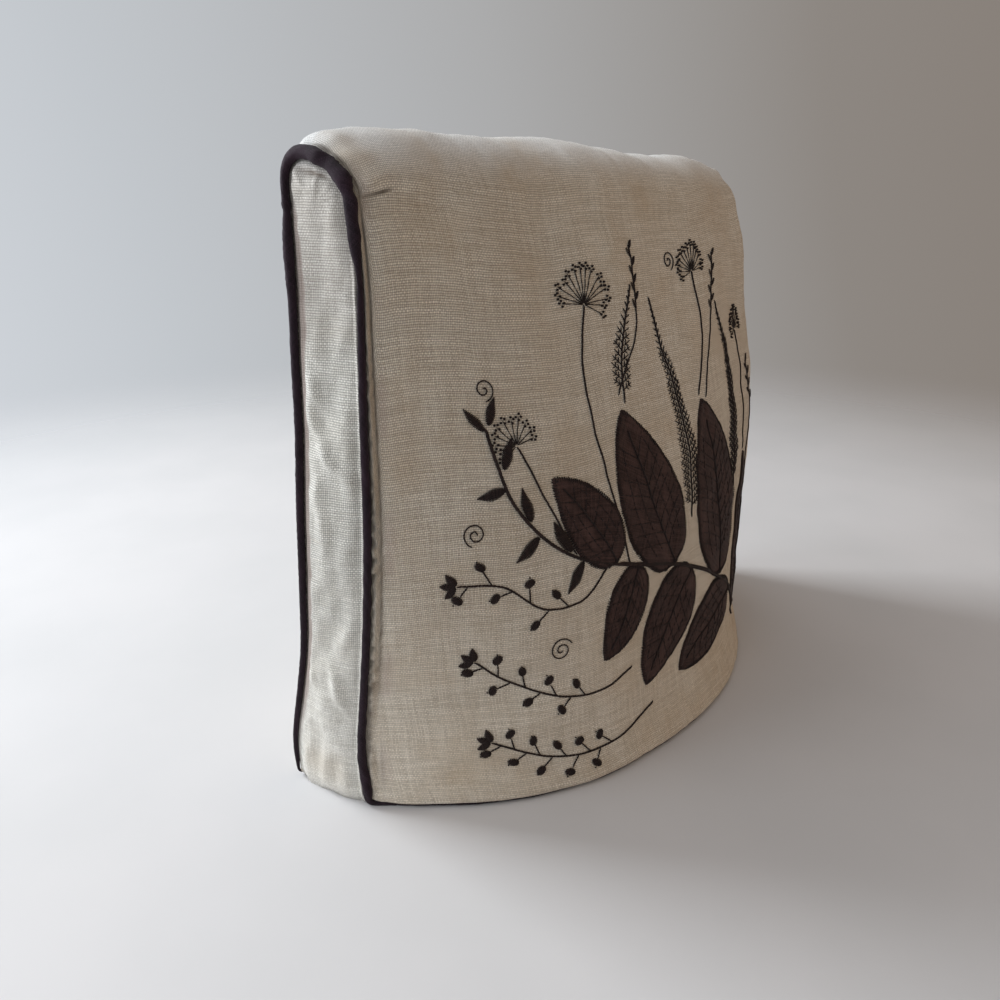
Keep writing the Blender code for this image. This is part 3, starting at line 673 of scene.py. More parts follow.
def build_wrap():
    """The wrap's object, its outer grid in the frame and that grid's map."""
    outer = wrap_outer()
    inner, out = wrap_inner()
    drop = FRONT_DROP + 0.25 * waves(US * 140, 60.0, 81)
    drop -= 0.75 * (1 - ramp(US, -0.82, -0.62)) + 0.65 * bell(US - 0.02, 0.20)
    back_drop = BACK_DROP + 0.3 * waves(US * 140, 70.0, 83)
    front_roll = hem_roll(outer[0], -out[0], drop)
    back_roll = hem_roll(outer[-1], -out[-1], back_drop)[::-1]
    outer = np.concatenate([front_roll, outer, back_roll])
    depths = np.arange(1, ROLL_ROWS + 1) * INNER_STEP
    low, high = ([row - UP * depth for depth in depths] for row in (inner[0], inner[-1]))
    inner = np.concatenate([low[::-1], inner, high])[::2, ::2]
    across, along = flat_map(outer, COLUMNS // 2)
    cloth = np.stack([across, along, np.zeros_like(across)], -1)
    points, faces = shell(outer, inner)
    maps = [np.concatenate([a.reshape(-1, 3), a[::2, ::2].reshape(-1, 3)]) for a in (cloth, wrap_wear(outer))]
    obj = new_object("wrap_cloth", points + ORIGIN, faces, LINEN, cloth=maps[0], wear=maps[1])
    return obj, outer + ORIGIN, cloth


STAINS = (
    # on the front: x, z, reach, strength
    (-124.0, 251.5, 6.5, 1.1),
    (-96.0, 254.0, 8.0, 0.7),
    (-48.0, 252.0, 9.0, 0.8),
    (-64.0, 246.0, 6.0, 0.6),
    (-100.0, 226.0, 13.0, 0.5),
    (-20.0, 212.0, 15.0, 0.5),
    (10.0, 236.0, 10.0, 0.5),
    (-112.0, 14.0, 5.0, 0.8),
    (-118.0, 176.0, 9.0, 0.35),
    (-70.0, 130.0, 16.0, 0.35),
    (-30.0, 60.0, 15.0, 0.3),
    (40.0, 12.0, 22.0, 0.6),
    (85.0, 14.0, 22.0, 0.7),
)


def wrap_wear(outer):
    """Per point: painted shade in the seam grooves, creases and valley beside the piping, greyed strips, tan
    stains.
    """
    d = np.minimum(EDGE_MM, 40)[None, :]
    x, z = outer[..., 0], outer[..., 2]
    s = arc(outer, 0)
    front = np.zeros(z.shape, bool)
    front[: z.shape[0] // 2] = True
    groove = LIP_AT + GROOVE_AT + 0.75 * (1 - ramp(z, *FINER))
    uneven = 0.65 + 0.35 * waves(s, 9.0, 21)
    # painted shade along the stitched groove, and in a crease low down
    painted_shade = 0.85 * bell(d - groove, 0.42) * uneven * ramp(z, 52, 76) * front
    painted_shade += 0.45 * bell(d - 5.6, 0.6) * bell(z - 20, 11) * front
    # painted shade in smudges beside the piping, low down
    smudged = ramp(z, 12, 26) * (1 - ramp(z, 60, 78)) * ramp(waves(s, 9.0, 22), -1.3, 0.8)
    painted_shade += 0.8 * bell(d - 2.2, 1.1) * smudged * front
    # painted shade in the valley beside the piping
    painted_shade += 0.22 * bell(d, 1.5)
    stain = np.zeros_like(z)
    for at, up, reach, strength in STAINS:
        gap = np.hypot(x + ORIGIN[0] - at, z - up)
        stain += strength * front * bell(gap, reach) * (0.75 + 0.25 * rumple(x, z, 9, 9, 31))
    blush = 0.5 * bell(d - groove - 2.2, 1.8) * ramp(waves(s, 38.0, 24), -0.4, 0.9) * front
    return np.stack([np.clip(painted_shade, 0, 1), np.clip(blush, 0, 1), np.clip(stain, 0, 1)], -1)


# ---- gussets ----
GUSSET_SHARES = np.array([0, .02, .04, .06, .08, .10, .12, .14, .165, .19, .22, .25, .29, .33, .38, .43,
                          .49, .55, .61, .68, .76, .84, .92, 1.0])


CROWN = 1.2                                # how far a gusset's middle stands out
STRIP, STRIP_EDGE = (4.2, 5.3), 6.2        # the pressed strip along the back seam, and the edge behind it
RIDGE_AT, RIDGE_WIDE, RIDGE_HIGH = 1.8, 0.75, 1.1
# the crease under the arch is darkened with painted shade
CREASE_Z, CREASE_COS, CREASE_SIN = 245.6, 0.98, 0.19         # the dark crease under the arch


def gusset_height(d, s, z, across, near, side):
    """How far a gusset's cloth stands out, d from its seam and s along it from the arch's top."""
    wave = waves(s, 13.0, 51 + side)
    arch = bell((np.arange(len(s)) - HALF - 6) / (CAP_STEPS // 2), 0.75)
    strip = ramp(s, 14, 30) * ramp(z, 12, 60)
    height = CROWN * (1 - near) - VALLEY * near
    height += fold_height(4 if side else 1, across, z) * (1 - near)
    height -= 0.35 * strip * (1 - ramp(d, STRIP[0] + 0.35 * wave, STRIP[1] + 0.35 * wave))
    height += 0.9 * strip * bell(d - 2.6, 1.2) + 0.25 * strip * bell(d - STRIP_EDGE - 0.35 * wave, 1.0)
    height += RIDGE_HIGH * ramp(-s, 40, 60) * bell(d - RIDGE_AT - 0.15 * wave, RIDGE_WIDE)
    height += arch * 0.5 * bell(d - 5.0, 2.0)
    uneven = 0.40 * rumple(across, z, 12, 20, 61 + side) + 0.16 * rumple(across, z, 5, 7, 63)
    height += uneven * (1 - near)
    height += 0.25 * bell(d - 6, 4.0) * waves(s, 8.0, 65) * (1 - near)
    return height - 1.5 * bell(z, 1.7)


def gusset_wear(d, s, z, across):
    """Per point: painted shade, greyed cloth (with painted shade high up) and stains of a gusset."""
    strip = ramp(s, 14, 30) * ramp(z, 12, 60) * (1 - ramp(d, 5.2, 6.0))
    # painted shade in the crease under the arch, over the upper part and at the seam
    off = (z - CREASE_Z) * CREASE_COS - across * CREASE_SIN
    crease = bell(off, 0.9) * bell(across, 7.5) * ramp(d, 3, 5)
    shade = ramp(z, 170, 222) * (0.85 + 0.15 * waves(z, 30.0, 67))
    painted_shade = 0.35 * bell(d, 1.5) + 0.24 * shade + 0.85 * crease
    return np.stack([painted_shade, np.maximum(strip, 0.30 * shade), 0.5 * bell(z - 14, 9) * ramp(d, 4, 12)], -1)


def gusset_grids(frames, side):
    """Outer and inner points, map, and painted shade and wear of a gusset: one row for each share of the way
    inwards.
    """
    line = frames["line"].copy()
    line[0, 2] = line[-1, 2] = 0.0
    count, spring = len(line), CAP_STEPS // 2
    centre = (line + line[::-1]) / 2
    in_cap = np.abs(np.arange(count) - HALF) <= spring
    centre = np.where(in_cap[:, None], centre[HALF - spring], centre)
    s = frames["s"] - frames["s"][HALF]
    rows = []
    for share in GUSSET_SHARES:
        base = line * (1 - share) + centre * share
        d = np.linalg.norm(centre - line, axis=1) * share
        near = bell(d, VALLEY_WIDTH)
        if share == 1:
            near = near * 0 + near.max() * 0.05
        z, across = base[:, 2], base[:, 1] - centre[:, 1]
        height = gusset_height(d, s, z, across, near, side)
        level = 1 - bell(base[:, 2:], HEM_REACH) * UP
        tilt = near[:, None]
        outward = unit(frames["gusset_n"] * (1 - tilt) + frames["middle"] * tilt) * level
        inward = frames["gusset_n"] * (1 - tilt) + frames["middle"] / np.maximum(frames["cosine"], 0.9) * tilt
        rows.append((base + outward * height[:, None] - frames["into_wrap"] * 0.12 * tilt,
                     base - outward * VALLEY * tilt - inward * level * GUSSET_WALL,
                     np.stack([across, z, np.zeros(count)], -1), gusset_wear(d, s, z, across)))
    grids = [np.array(grid) for grid in zip(*rows)]
    for grid in grids:
        grid[-1] = (grid[-1] + grid[-1][::-1]) / 2
        grid[-1][in_cap] = grid[-1][HALF - spring]
    for grid in grids[:2]:
        grid[:, 0, 2] = grid[:, -1, 2] = 0.0
    return grids


def build_gusset(name, frames, side):
    """A gusset's padded cloth: side 0 on the left, 1 on the right."""
    outer, inner, flat, wear = gusset_grids(frames, side)
    rows, columns = outer.shape[:2]
    size = rows * columns
    faces = grid_faces(rows, columns) + grid_faces(rows, columns, size, flip=True)
    faces += [[j + 1, j, size + j, size + j + 1] for j in range(columns - 1)]
    for i in range(rows - 1):
        a, b = i * columns, (i + 1) * columns
        faces.append([a, b, size + b, size + a])
        a, b = a + columns - 1, b + columns - 1
        faces.append([b, a, size + a, size + b])
    points, cloth, marks = (np.concatenate([a.reshape(-1, 3), b.reshape(-1, 3)])
                            for a, b in ((outer, inner), (flat, flat), (wear, wear)))
    # weld the centre line, where both halves meet
    key = np.round(points * 500).astype(np.int64)
    _, first, same = np.unique(key, axis=0, return_index=True, return_inverse=True)
    same = same.ravel()
    rings = [list(dict.fromkeys(same[face].tolist())) for face in faces]
    kept = [ring for ring in rings if len(ring) > 2]
    points = points[first]
    if side:
        points = points * MIRROR
        kept = [ring[::-1] for ring in kept]
    return new_object(name, points + ORIGIN, kept, GUSSET_LINEN, cloth=cloth[first], wear=marks[first])


# ---- piping ----
HEM_PIPE_Z, HEM_PIPE_IN, HEM_PIPE_SIZE, HEM_PIPE_CUT = 1.3, 2.1, 1.1, 11
FLOOR_GAP = 0.05
RIGHT_HALF_HEIGHT = 0.62                   # the right piping lies deep in its seam
FOOT_HEIGHTS, FOOT_STEPS, FOOT_FROM = (6.0, 4.4, 3.0), 12, 7.5


def evenly(points, step, *others):
    """The points, and others beside them, again at even steps, and the length along them."""
    lengths = np.concatenate([[0], np.cumsum(np.linalg.norm(np.diff(points, axis=0), axis=1))])
    at = np.linspace(0, lengths[-1], max(2, int(round(lengths[-1] / step)) + 1))

    def through(a):
        return np.stack([np.interp(at, lengths, a[:, i]) for i in range(a.shape[1])], -1)

    return [through(points), *[through(o) for o in others], at]


# The binding's section is a little squarer than an ellipse, and softly dented, by these shares
SQUARE_WIDE, SQUARE_HIGH, LONG_DENT, SHORT_DENT = 0.85, 0.9, 0.045, 0.025
MAP_RADIUS = 1.9


def sweep(name, route, out, wide_plus, wide_minus, high, material, seed, sides=22):
    """Flattened binding on a route. out points away from the cloth; plus is the wrap's side."""
    tangent = unit(np.gradient(route, axis=0))
    out = unit(out - tangent * (out * tangent).sum(-1, keepdims=True))
    side = np.cross(tangent, out)
    s = arc(route[:, None], 0)[:, 0]
    angles = np.arange(sides) / sides * 2 * math.pi
    points, cloth = [], []
    for k, angle in enumerate(angles):
        c, up = math.cos(angle), math.sin(angle)
        c, up = math.copysign(abs(c) ** SQUARE_WIDE, c), math.copysign(abs(up) ** SQUARE_HIGH, up)
        wide = wide_plus if c > 0 else wide_minus
        dent = 1 + LONG_DENT * waves(s + 5 * c, 7.0, seed) + SHORT_DENT * waves(s - 7 * up, 2.6, seed + 1)
        points.append(route + side * (c * wide * dent)[:, None] + out * (up * high * dent)[:, None])
        around = np.full(len(s), k / sides * 2 * math.pi * MAP_RADIUS)
        cloth.append(np.stack([around, s, np.zeros(len(s))], -1))
    points = np.array(points).transpose(1, 0, 2)
    points[..., 2] = np.maximum(points[..., 2], FLOOR_GAP)
    cloth = np.array(cloth).transpose(1, 0, 2)
    rows = len(route)
    faces = []
    for i in range(rows - 1):
        for j in range(sides):
            a, b = i * sides + j, i * sides + (j + 1) % sides
            faces.append([a, a + sides, b + sides, b])
    faces.append(list(range(sides)))
    faces.append([(rows - 1) * sides + j for j in range(sides - 1, -1, -1)])
    return new_object(name, points.reshape(-1, 3) + ORIGIN, faces, material, cloth=cloth.reshape(-1, 3))


PIPE_ROWS = (
    # mm from the arch's top (front -, back +), half width to the wrap and to the gusset, half height
    (-300.0, 2.3, 1.9, 1.7),
    (-262.0, 2.35, 2.0, 1.8),
    (-246.0, 1.9, 1.75, 1.75),
    (-225.0, 1.65, 1.6, 1.7),
    (-120.0, 1.5, 1.5, 1.6),
    (-95.0, 1.5, 1.35, 1.6),
    (-64.0, 1.5, 1.0, 1.6),
    (-48.0, 1.6, 1.05, 1.6),
    (-45.5, 1.85, 1.6, 1.7),
    (-36.0, 2.15, 2.2, 1.8),
    (-28.0, 2.15, 2.2, 1.8),
    (-25.0, 2.2, 2.2, 1.85),
    (-23.8, 2.75, 2.2, 2.1),
    (-16.0, 2.55, 2.3, 2.0),
    (-10.8, 2.3, 2.3, 1.85),
    (-9.6, 2.4, 2.7, 2.2),
    (-4.0, 2.2, 2.6, 2.05),
    (3.0, 2.0, 2.5, 1.85),
    (10.0, 1.6, 2.4, 1.6),
    (19.0, 1.4, 2.2, 1.45),
    (22.0, 1.5, 2.2, 1.6),
    (23.2, 1.3, 1.9, 1.3),
    (25.0, 1.4, 2.0, 1.45),
    (60.0, 1.5, 1.85, 1.5),
    (120.0, 1.55, 1.6, 1.5),
    (180.0, 1.3, 1.35, 1.35),
    (225.0, 1.1, 1.15, 1.2),
    (244.0, 0.95, 1.0, 1.05),
    (258.0, 0.7, 0.7, 0.8),
    (300.0, 0.6, 0.6, 0.7),
)


def piping_foot(end, hem):
    """From the lower end of a side's piping down, and round the corner along the hem."""
    start, corner = end * LEVEL, hem[0] * LEVEL
    run = [start + UP * z for z in FOOT_HEIGHTS]
    for i in range(1, FOOT_STEPS + 1):
        t = i / FOOT_STEPS
        spot = start + (hem[i] - hem[0]) * t + (corner - start) * t ** 1.5
        run.append(spot * LEVEL + UP * (1.0 + 1.1 * (1 - t) ** 2))
    return np.array(run)


def build_side_piping(name, frames, front_hem, back_hem, side):
    """Piping up the back seam, round the arch and down the front one, and round the hem's corners."""
    line, middle = frames["line"], frames["middle"]
    table = np.array(PIPE_ROWS)
    if side:
        table[:, 3] *= RIGHT_HALF_HEIGHT
    rows = smooth_table(table, frames["s"] - frames["s"][HALF])
    route = line + middle * (rows[:, 2:3] * 0.9 + 0.1 - VALLEY)
    # low down, the front leg lies further into the wrap
    on_front = (np.arange(len(line)) < HALF)[:, None]
    route += frames["into_wrap"] * (1.5 * (1 - ramp(line[:, 2:], 4, 26)) * on_front)
    keep = route[:, 2] > FOOT_FROM
    route, out = route[keep], middle[keep]
    feet = [piping_foot(route[0], front_hem)[::-1], piping_foot(route[-1], back_hem)]
    outs = [np.tile(out[k], (len(feet[0]), 1)) for k in (0, -1)]
    route = np.concatenate([feet[0], route, feet[1]])
    out = np.concatenate([outs[0], out, outs[1]])
    route, out, at = evenly(route, 1.0, out)
    for _ in range(4):
        for run in (route, out):
            run[1:-1] = (run[:-2] + 2 * run[1:-1] + run[2:]) / 4
    at = at - at[np.argmax(route[:, 2])]
    to_wrap, to_gusset, high = smooth_table(table, at).T
    low = 0.62 + 0.38 * ramp(route[:, 2], 1.2, 9.0)
    route[:, 2] = np.maximum(route[:, 2], high * low * 1.12)
    # the gathers over the arch, then the binding's own unevenness
    saw = 0.50 * bell(at + 17, 7.0) * np.abs(np.sin(at * math.pi / 2.3))
    whole = at - at[0]
    plus = (to_wrap + saw + 0.12 * waves(whole, 9.0, 91)) * low
    minus = (to_gusset + 0.05 * waves(whole, 12.0, 92)) * low
    if side:
        route, out = route * MIRROR, out * MIRROR
        plus, minus = minus, plus
    return sweep(name, route, out, plus, minus, high * low, BINDING, 93 + side)


def hem_route(row, sign):
    """The hem piping's line: inwards of one of the wrap's lowest rows, and level."""
    along = unit(np.gradient(row, axis=0) * LEVEL)
    inward = np.stack([-along[:, 1], along[:, 0], along[:, 2] * 0], -1) * sign
    line = row + inward * HEM_PIPE_IN
    line[:, 2] = HEM_PIPE_Z
    return evenly(line, 1.0)[0]


def build_piping(outer):
    """Side and hem piping on the wrap's finished edges."""
    grid = outer - ORIGIN
    front, back = hem_route(grid[ROLL_ROWS], 1.0), hem_route(grid[-1 - ROLL_ROWS], -1.0)
    made = [
        build_side_piping("trim_left", LEFT, front, back, 0),
        build_side_piping("trim_right", RIGHT, front[::-1] * MIRROR, back[::-1] * MIRROR, 1),
    ]
    for name, hem, seed in (("trim_hem_front", front, 5), ("trim_hem_back", back, 9)):
        cut = hem[HEM_PIPE_CUT:-HEM_PIPE_CUT]
        size = 1.0 + 0.10 * waves(np.arange(len(cut)) * 1.0, 30.0, seed)
        out = np.tile(UP, (len(cut), 1))
        wide = size * HEM_PIPE_SIZE
        made.append(sweep(name, cut, out, wide, wide, size, BINDING, seed, sides=12))
    return made


# ---- build ----
wrap_cloth, WRAP_GRID, WRAP_MAP = build_wrap()
gusset_left = build_gusset("gusset_cloth_left", LEFT, 0)
gusset_right = build_gusset("gusset_cloth_right", RIGHT, 1)
trims = build_piping(WRAP_GRID)

for piece, node, slot in (
    (wrap_cloth, "wrap_panel", "linen"),
    (gusset_left, "gusset_left", "gusset_linen"),
    (gusset_right, "gusset_right", "gusset_linen"),
    (trims[0], "piping_left", "piping"),
    (trims[1], "piping_right", "piping"),
    (trims[2], "piping_hem_front", "piping"),
    (trims[3], "piping_hem_back", "piping"),
):
    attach(piece, "root")
    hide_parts(node)


# ---- the front's needlework ----
# A place on the front is how far across from its middle and up the cloth from its hem, in mm.
BOUGH = ((84, 16), (60, 44), (28, 66), (-8, 82), (-42, 92), (-72, 106), (-92, 130), (-98, 158))
LEAVES = (
    # base across and up, heading, length, width, turn from base to tip
    (80, 24, 76, 86, 38, -16),
    (57, 45, 198, 62, 33, 24),
    (44, 59, 98, 92, 45, 12),
    (12, 74, 228, 60, 33, 22),
    (-2, 81, 110, 80, 40, -16),
    (-29, 88, 238, 44, 24, -20),
    (-42, 93, 126, 52, 26, 16),
    (116, 8, 70, 66, 29, 12),
)
SMALL_LEAVES = (
    # the same, in satin stitch
    (-60, 99, 232, 15, 6.0), (-66, 103, 118, 16, 6.4), (-80, 113, 214, 14, 5.6), (-84, 119, 100, 14, 5.6),
    (-93, 134, 190, 12, 5.0), (-94, 141, 62, 13, 5.0), (-98, 156, 128, 11, 4.4), (-97, 158, 66, 11, 4.4),
)
SPRIGS = (
    # stalk's places, then how many berries hang on each side of it
    (((-36, 42), (-52, 38), (-72, 40), (-94, 50), (-112, 64)), 4),
    (((-47, 93), (-62, 82), (-80, 82), (-100, 96), (-117, 98)), 3),
    (((-24, 20), (-52, 12), (-82, 14), (-108, 26)), 5),
)
FERNS = (
    # stem's places, longest leaflet
    (((13, 98), (15, 126), (10, 160), (0, 200)), 11.5),
    (((64, 98), (70, 126), (70, 156), (60, 192)), 12.0),
    (((-27, 158), (-24, 178), (-14, 206)), 8.5),
)
UMBELS = (
    # stalk's places, rays, their length
    (((-34, 90), (-41, 118), (-47, 150), (-48, 176), (-42, 200)), 15, 15.0),
    (((-64, 102), (-76, 126), (-86, 150)), 11, 10.5),
    (((30, 152), (42, 178), (38, 208)), 13, 12.0),
    (((92, 110), (96, 140), (90, 174)), 11, 11.0),
)
GRASSES = (
    ((-30, 162), (-12, 190), (-10, 222)),
    ((36, 150), (52, 180), (60, 214)),
    ((106, 96), (112, 124), (106, 156)),
)
TENDRILS = (
    # middle, radius, first direction, turns
    (-74, 62, 5.5, 20, 1.9),
    (-108, 118, 5.0, 250, -1.8),
    (-96, 172, 4.5, 270, 1.6),
    (20, 214, 4.5, 290, 1.7),
)


FRONT_HALF, FRONT_HIGH = 150, 260


def front_table():
    """The front cloth at every whole mm of its map."""
    rows = WRAP_GRID[ROLL_ROWS:ROLL_ROWS + 1 + HALF]
    across, up = WRAP_MAP[ROLL_ROWS:ROLL_ROWS + 1 + HALF, :, 0], arc(rows, 0)
    ps, qs = np.arange(-FRONT_HALF, FRONT_HALF + 1), np.arange(FRONT_HIGH + 1)
    by_row = np.array([[np.interp(ps, a, v) for v in (*row.T, u)] for row, a, u in zip(rows, across, up)])
    return np.array([[np.interp(qs, by_row[:, 3, j], by_row[:, k, j]) for k in range(3)]
                     for j in range(len(ps))]).transpose(2, 0, 1)


FRONT = front_table()
FRONT_OUT = grid_normals(FRONT)


def on_front(spots, lift):
    """Points over these places, lifted off the cloth, and the way out of it there."""
    p, q = spots[..., 0] + FRONT_HALF, spots[..., 1]
    i = np.clip(q.astype(int), 0, FRONT.shape[0] - 2)
    j = np.clip(p.astype(int), 0, FRONT.shape[1] - 2)
    a, b = (q - i)[..., None], (p - j)[..., None]

    def at(table):
        return ((table[i, j] * (1 - b) + table[i, j + 1] * b) * (1 - a)
                + (table[i + 1, j] * (1 - b) + table[i + 1, j + 1] * b) * a)

    out = unit(at(FRONT_OUT))
    return at(FRONT) + out * np.asarray(lift)[..., None], out


def turned(v):
    return np.stack([-v[..., 1], v[..., 0]], -1)


def facing(degrees):
    angle = np.radians(degrees)
    return np.stack([np.cos(angle), np.sin(angle)], -1)


def rotated(v, degrees):
    c, s = math.cos(math.radians(degrees)), math.sin(math.radians(degrees))
    return np.array([v[0] * c - v[1] * s, v[0] * s + v[1] * c])


def direction(v):
    """The other way round: degrees from a vector."""
    return math.degrees(math.atan2(v[1], v[0]))


def smooth_line(places):
    """A smooth line through the places, with a point at every half mm."""
    places = np.asarray(places, float)
    at = np.concatenate([[0], np.linalg.norm(np.diff(places, axis=0), axis=1).cumsum()])
    return evenly(smooth_table(np.column_stack([at, places]), np.linspace(0, at[-1], 300)), 0.5)[0]


STITCH_T = np.array([0, 0.12, 0.34, 0.66, 0.88, 1.0])
STITCH_SIZE = np.array([0.35, 0.82, 1.0, 1.0, 0.82, 0.35])
STITCH_SIDES = 6


def stitches(start, end, thick, low, high, arch=0.25):
    """Stitches from start to end, whose middles lie low mm off the cloth at first and high at last."""
    start, end = np.atleast_2d(start), np.atleast_2d(end)
    count = len(start)
    thick, low, high = (np.broadcast_to(v, count).astype(float)[:, None] for v in (thick, low, high))
    spots = start[:, None] + (end - start)[:, None] * STITCH_T[None, :, None]
    height = low + (high - low) * STITCH_T + (arch * np.sin(STITCH_T * math.pi) - 0.12) * thick / 0.38
    centre, out = on_front(spots, height)
    along = unit(np.gradient(centre, axis=1))
    side = unit(np.cross(along, out))
    angle = np.arange(STITCH_SIDES) / STITCH_SIDES * 2 * math.pi
    ring = (side[:, :, None] * np.cos(angle)[:, None] + out[:, :, None] * np.sin(angle)[:, None])
    points = centre[:, :, None] + ring * (thick * STITCH_SIZE)[..., None, None]
    length = np.linalg.norm(end - start, axis=-1)[:, None, None]
    shape = points.shape[:3]
    cloth = np.stack(np.broadcast_arrays(
        angle * thick[..., None], length * STITCH_T[:, None], np.arange(count)[:, None, None] * 3.1), -1)
    return points, np.broadcast_to(cloth, (*shape, 3))


def thread_object(name, sets):
    points = np.concatenate([s[0] for s in sets])
    cloth = np.concatenate([s[1] for s in sets])
    count, rings, sides = points.shape[:3]
    i, j = np.meshgrid(np.arange(rings - 1), np.arange(sides), indexing="ij")
    a, b = (i * sides + j).ravel(), (i * sides + (j + 1) % sides).ravel()
    quads = np.stack([a, a + sides, b + sides, b], -1)
    offsets = np.arange(count)[:, None, None] * rings * sides
    caps = np.array([np.arange(sides), (rings - 1) * sides + np.arange(sides)[::-1]])
    faces = (quads[None] + offsets).reshape(-1, 4).tolist()
    faces += (caps[None] + offsets).reshape(-1, sides).tolist()
    return new_object(name, points.reshape(-1, 3), faces, THREAD, cloth=cloth.reshape(-1, 3))


def stem(line, lift=0.30, thick=0.40, pitch=1.5, reach=3.2, slant=0.26, seed=0):
    """A rope-like row of overlapping slanted stitches."""
    rng = np.random.default_rng(seed)
    at = np.concatenate([[0], np.linalg.norm(np.diff(line, axis=0), axis=1).cumsum()])
    first = np.arange(0, max(at[-1] - reach * 0.6, pitch * 0.5), pitch)
    first = first + rng.uniform(-0.15, 0.15, len(first)) * pitch
    last = np.minimum(first + reach * rng.uniform(0.9, 1.1, len(first)), at[-1])
    ends = [np.stack([np.interp(v, at, line[:, k]) for k in (0, 1)], -1) for v in (first, last)]
    across = turned(unit(ends[1] - ends[0]))
    return stitches(ends[0] - across * slant, ends[1] + across * slant, thick, lift * 0.8, lift)


def satin(middle, heading, length, width, lift=0.25, dome=0.5, tip=1.0, pitch=0.52, thick=0.30):
    """A filled shape of stitches laid side by side; tip above 1 draws its far end to a point."""
    count = max(4, int(length / pitch))
    u = (np.arange(count) + 0.5) / count * 2 - 1
    half = width / 2 * np.sqrt(np.clip(1 - u * u, 0, 1)) * (1 - (tip - 1) * np.clip(u, 0, 1))
    way = facing(heading)
    across = unit(turned(way) + way * 0.35)
    spots = np.asarray(middle, float) + way * (u * length / 2)[:, None]
    rise = lift + dome * (half / (width / 2)) * 0.5
    return stitches(spots - across * half[:, None], spots + across * half[:, None], thick, rise, rise, 0.45)


def knot(spots, size):
    """A round knot at each spot: one stitch across another."""
    spots = np.atleast_2d(spots)
    way = facing(np.arange(len(spots)) * 47.0) * size * 0.55
    return [stitches(spots - way, spots + way, size * 0.62, 0.30, 0.30, 0.1),
            stitches(spots - turned(way), spots + turned(way), size * 0.58, 0.62, 0.62, 0.1)]


LEAF_PEAK = 0.4206                         # the most that a leaf's width formula comes to
LEAF_EDGE = 0.5                            # half width that its ends keep
# The patch above the front: its edge, padding, turned edge and the crease along its midrib
PATCH_EDGE, PATCH_PAD, PATCH_TURNED, PATCH_CREASE, PATCH_UNDER = 0.22, 0.48, 0.22, 0.25, 0.06


def leaf_lines(base, heading, length, width, turn, count=45):
    """A leaf's midrib, its sideways direction and its half width along it."""
    t = np.linspace(0, 1, count)
    way = facing(heading + turn * (t - 0.5))
    steps = np.cumsum(way[:-1], 0) * length / (count - 1)
    middle = np.array(base, float) + np.concatenate([[[0, 0]], steps])
    half = width / 2 * np.sqrt(t) * (1 - t) ** 0.8 / LEAF_PEAK
    return t, middle, turned(way), half


def leaf_patch(name, row, seed):
    """Applique leaf: a thin sheet with a turned edge, laid on the front."""
    px, pq, heading, length, width, turn = row
    t, middle, side, half = leaf_lines((px, pq), heading, length, width, turn)
    ragged = 1 + 0.03 * waves(t * length, 13.0, seed)
    share = np.sin(np.linspace(-1, 1, 19) * math.pi / 2)
    half_wide = np.maximum(half * ragged, LEAF_EDGE)
    reach = half_wide[:, None] * share
    spots = middle[:, None] + side[:, None] * reach[..., None]
    lump = rumple(spots[..., 0], spots[..., 1], 11, 9, seed + 1)
    top = PATCH_EDGE + (PATCH_PAD + 0.10 * lump) * (1 - np.abs(share) ** 8) * ramp(t, 0, 0.05)[:, None]
    top += PATCH_TURNED * np.exp(-((1 - np.abs(share)) * half[:, None] / 1.9 - 1) ** 2)
    top -= PATCH_CREASE * bell(reach, 0.8)
    high, _ = on_front(spots, top)
    low, _ = on_front(spots, np.full(top.shape, PATCH_UNDER))
    rows, columns = top.shape
    size = rows * columns
    faces = grid_faces(rows, columns, 0, flip=True) + grid_faces(rows, columns, size)
    loop = (list(range(columns)) + [i * columns + columns - 1 for i in range(1, rows)]
            + [size - 1 - j for j in range(1, columns)] + [i * columns for i in range(rows - 2, 0, -1)])
    faces += [[a, size + a, size + b, b][::-1] for a, b in zip(loop, loop[1:] + loop[:1])]
    along = np.broadcast_to((t * length)[:, None], reach.shape)
    cloth = np.stack([reach, along, np.full(reach.shape, 7.0 * seed)], -1).reshape(-1, 3)
    points = np.concatenate([high.reshape(-1, 3), low.reshape(-1, 3)])
    obj = new_object(name, points, faces, LEAF_CLOTH, cloth=np.concatenate([cloth, cloth]))
    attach(obj, "root")
    return obj


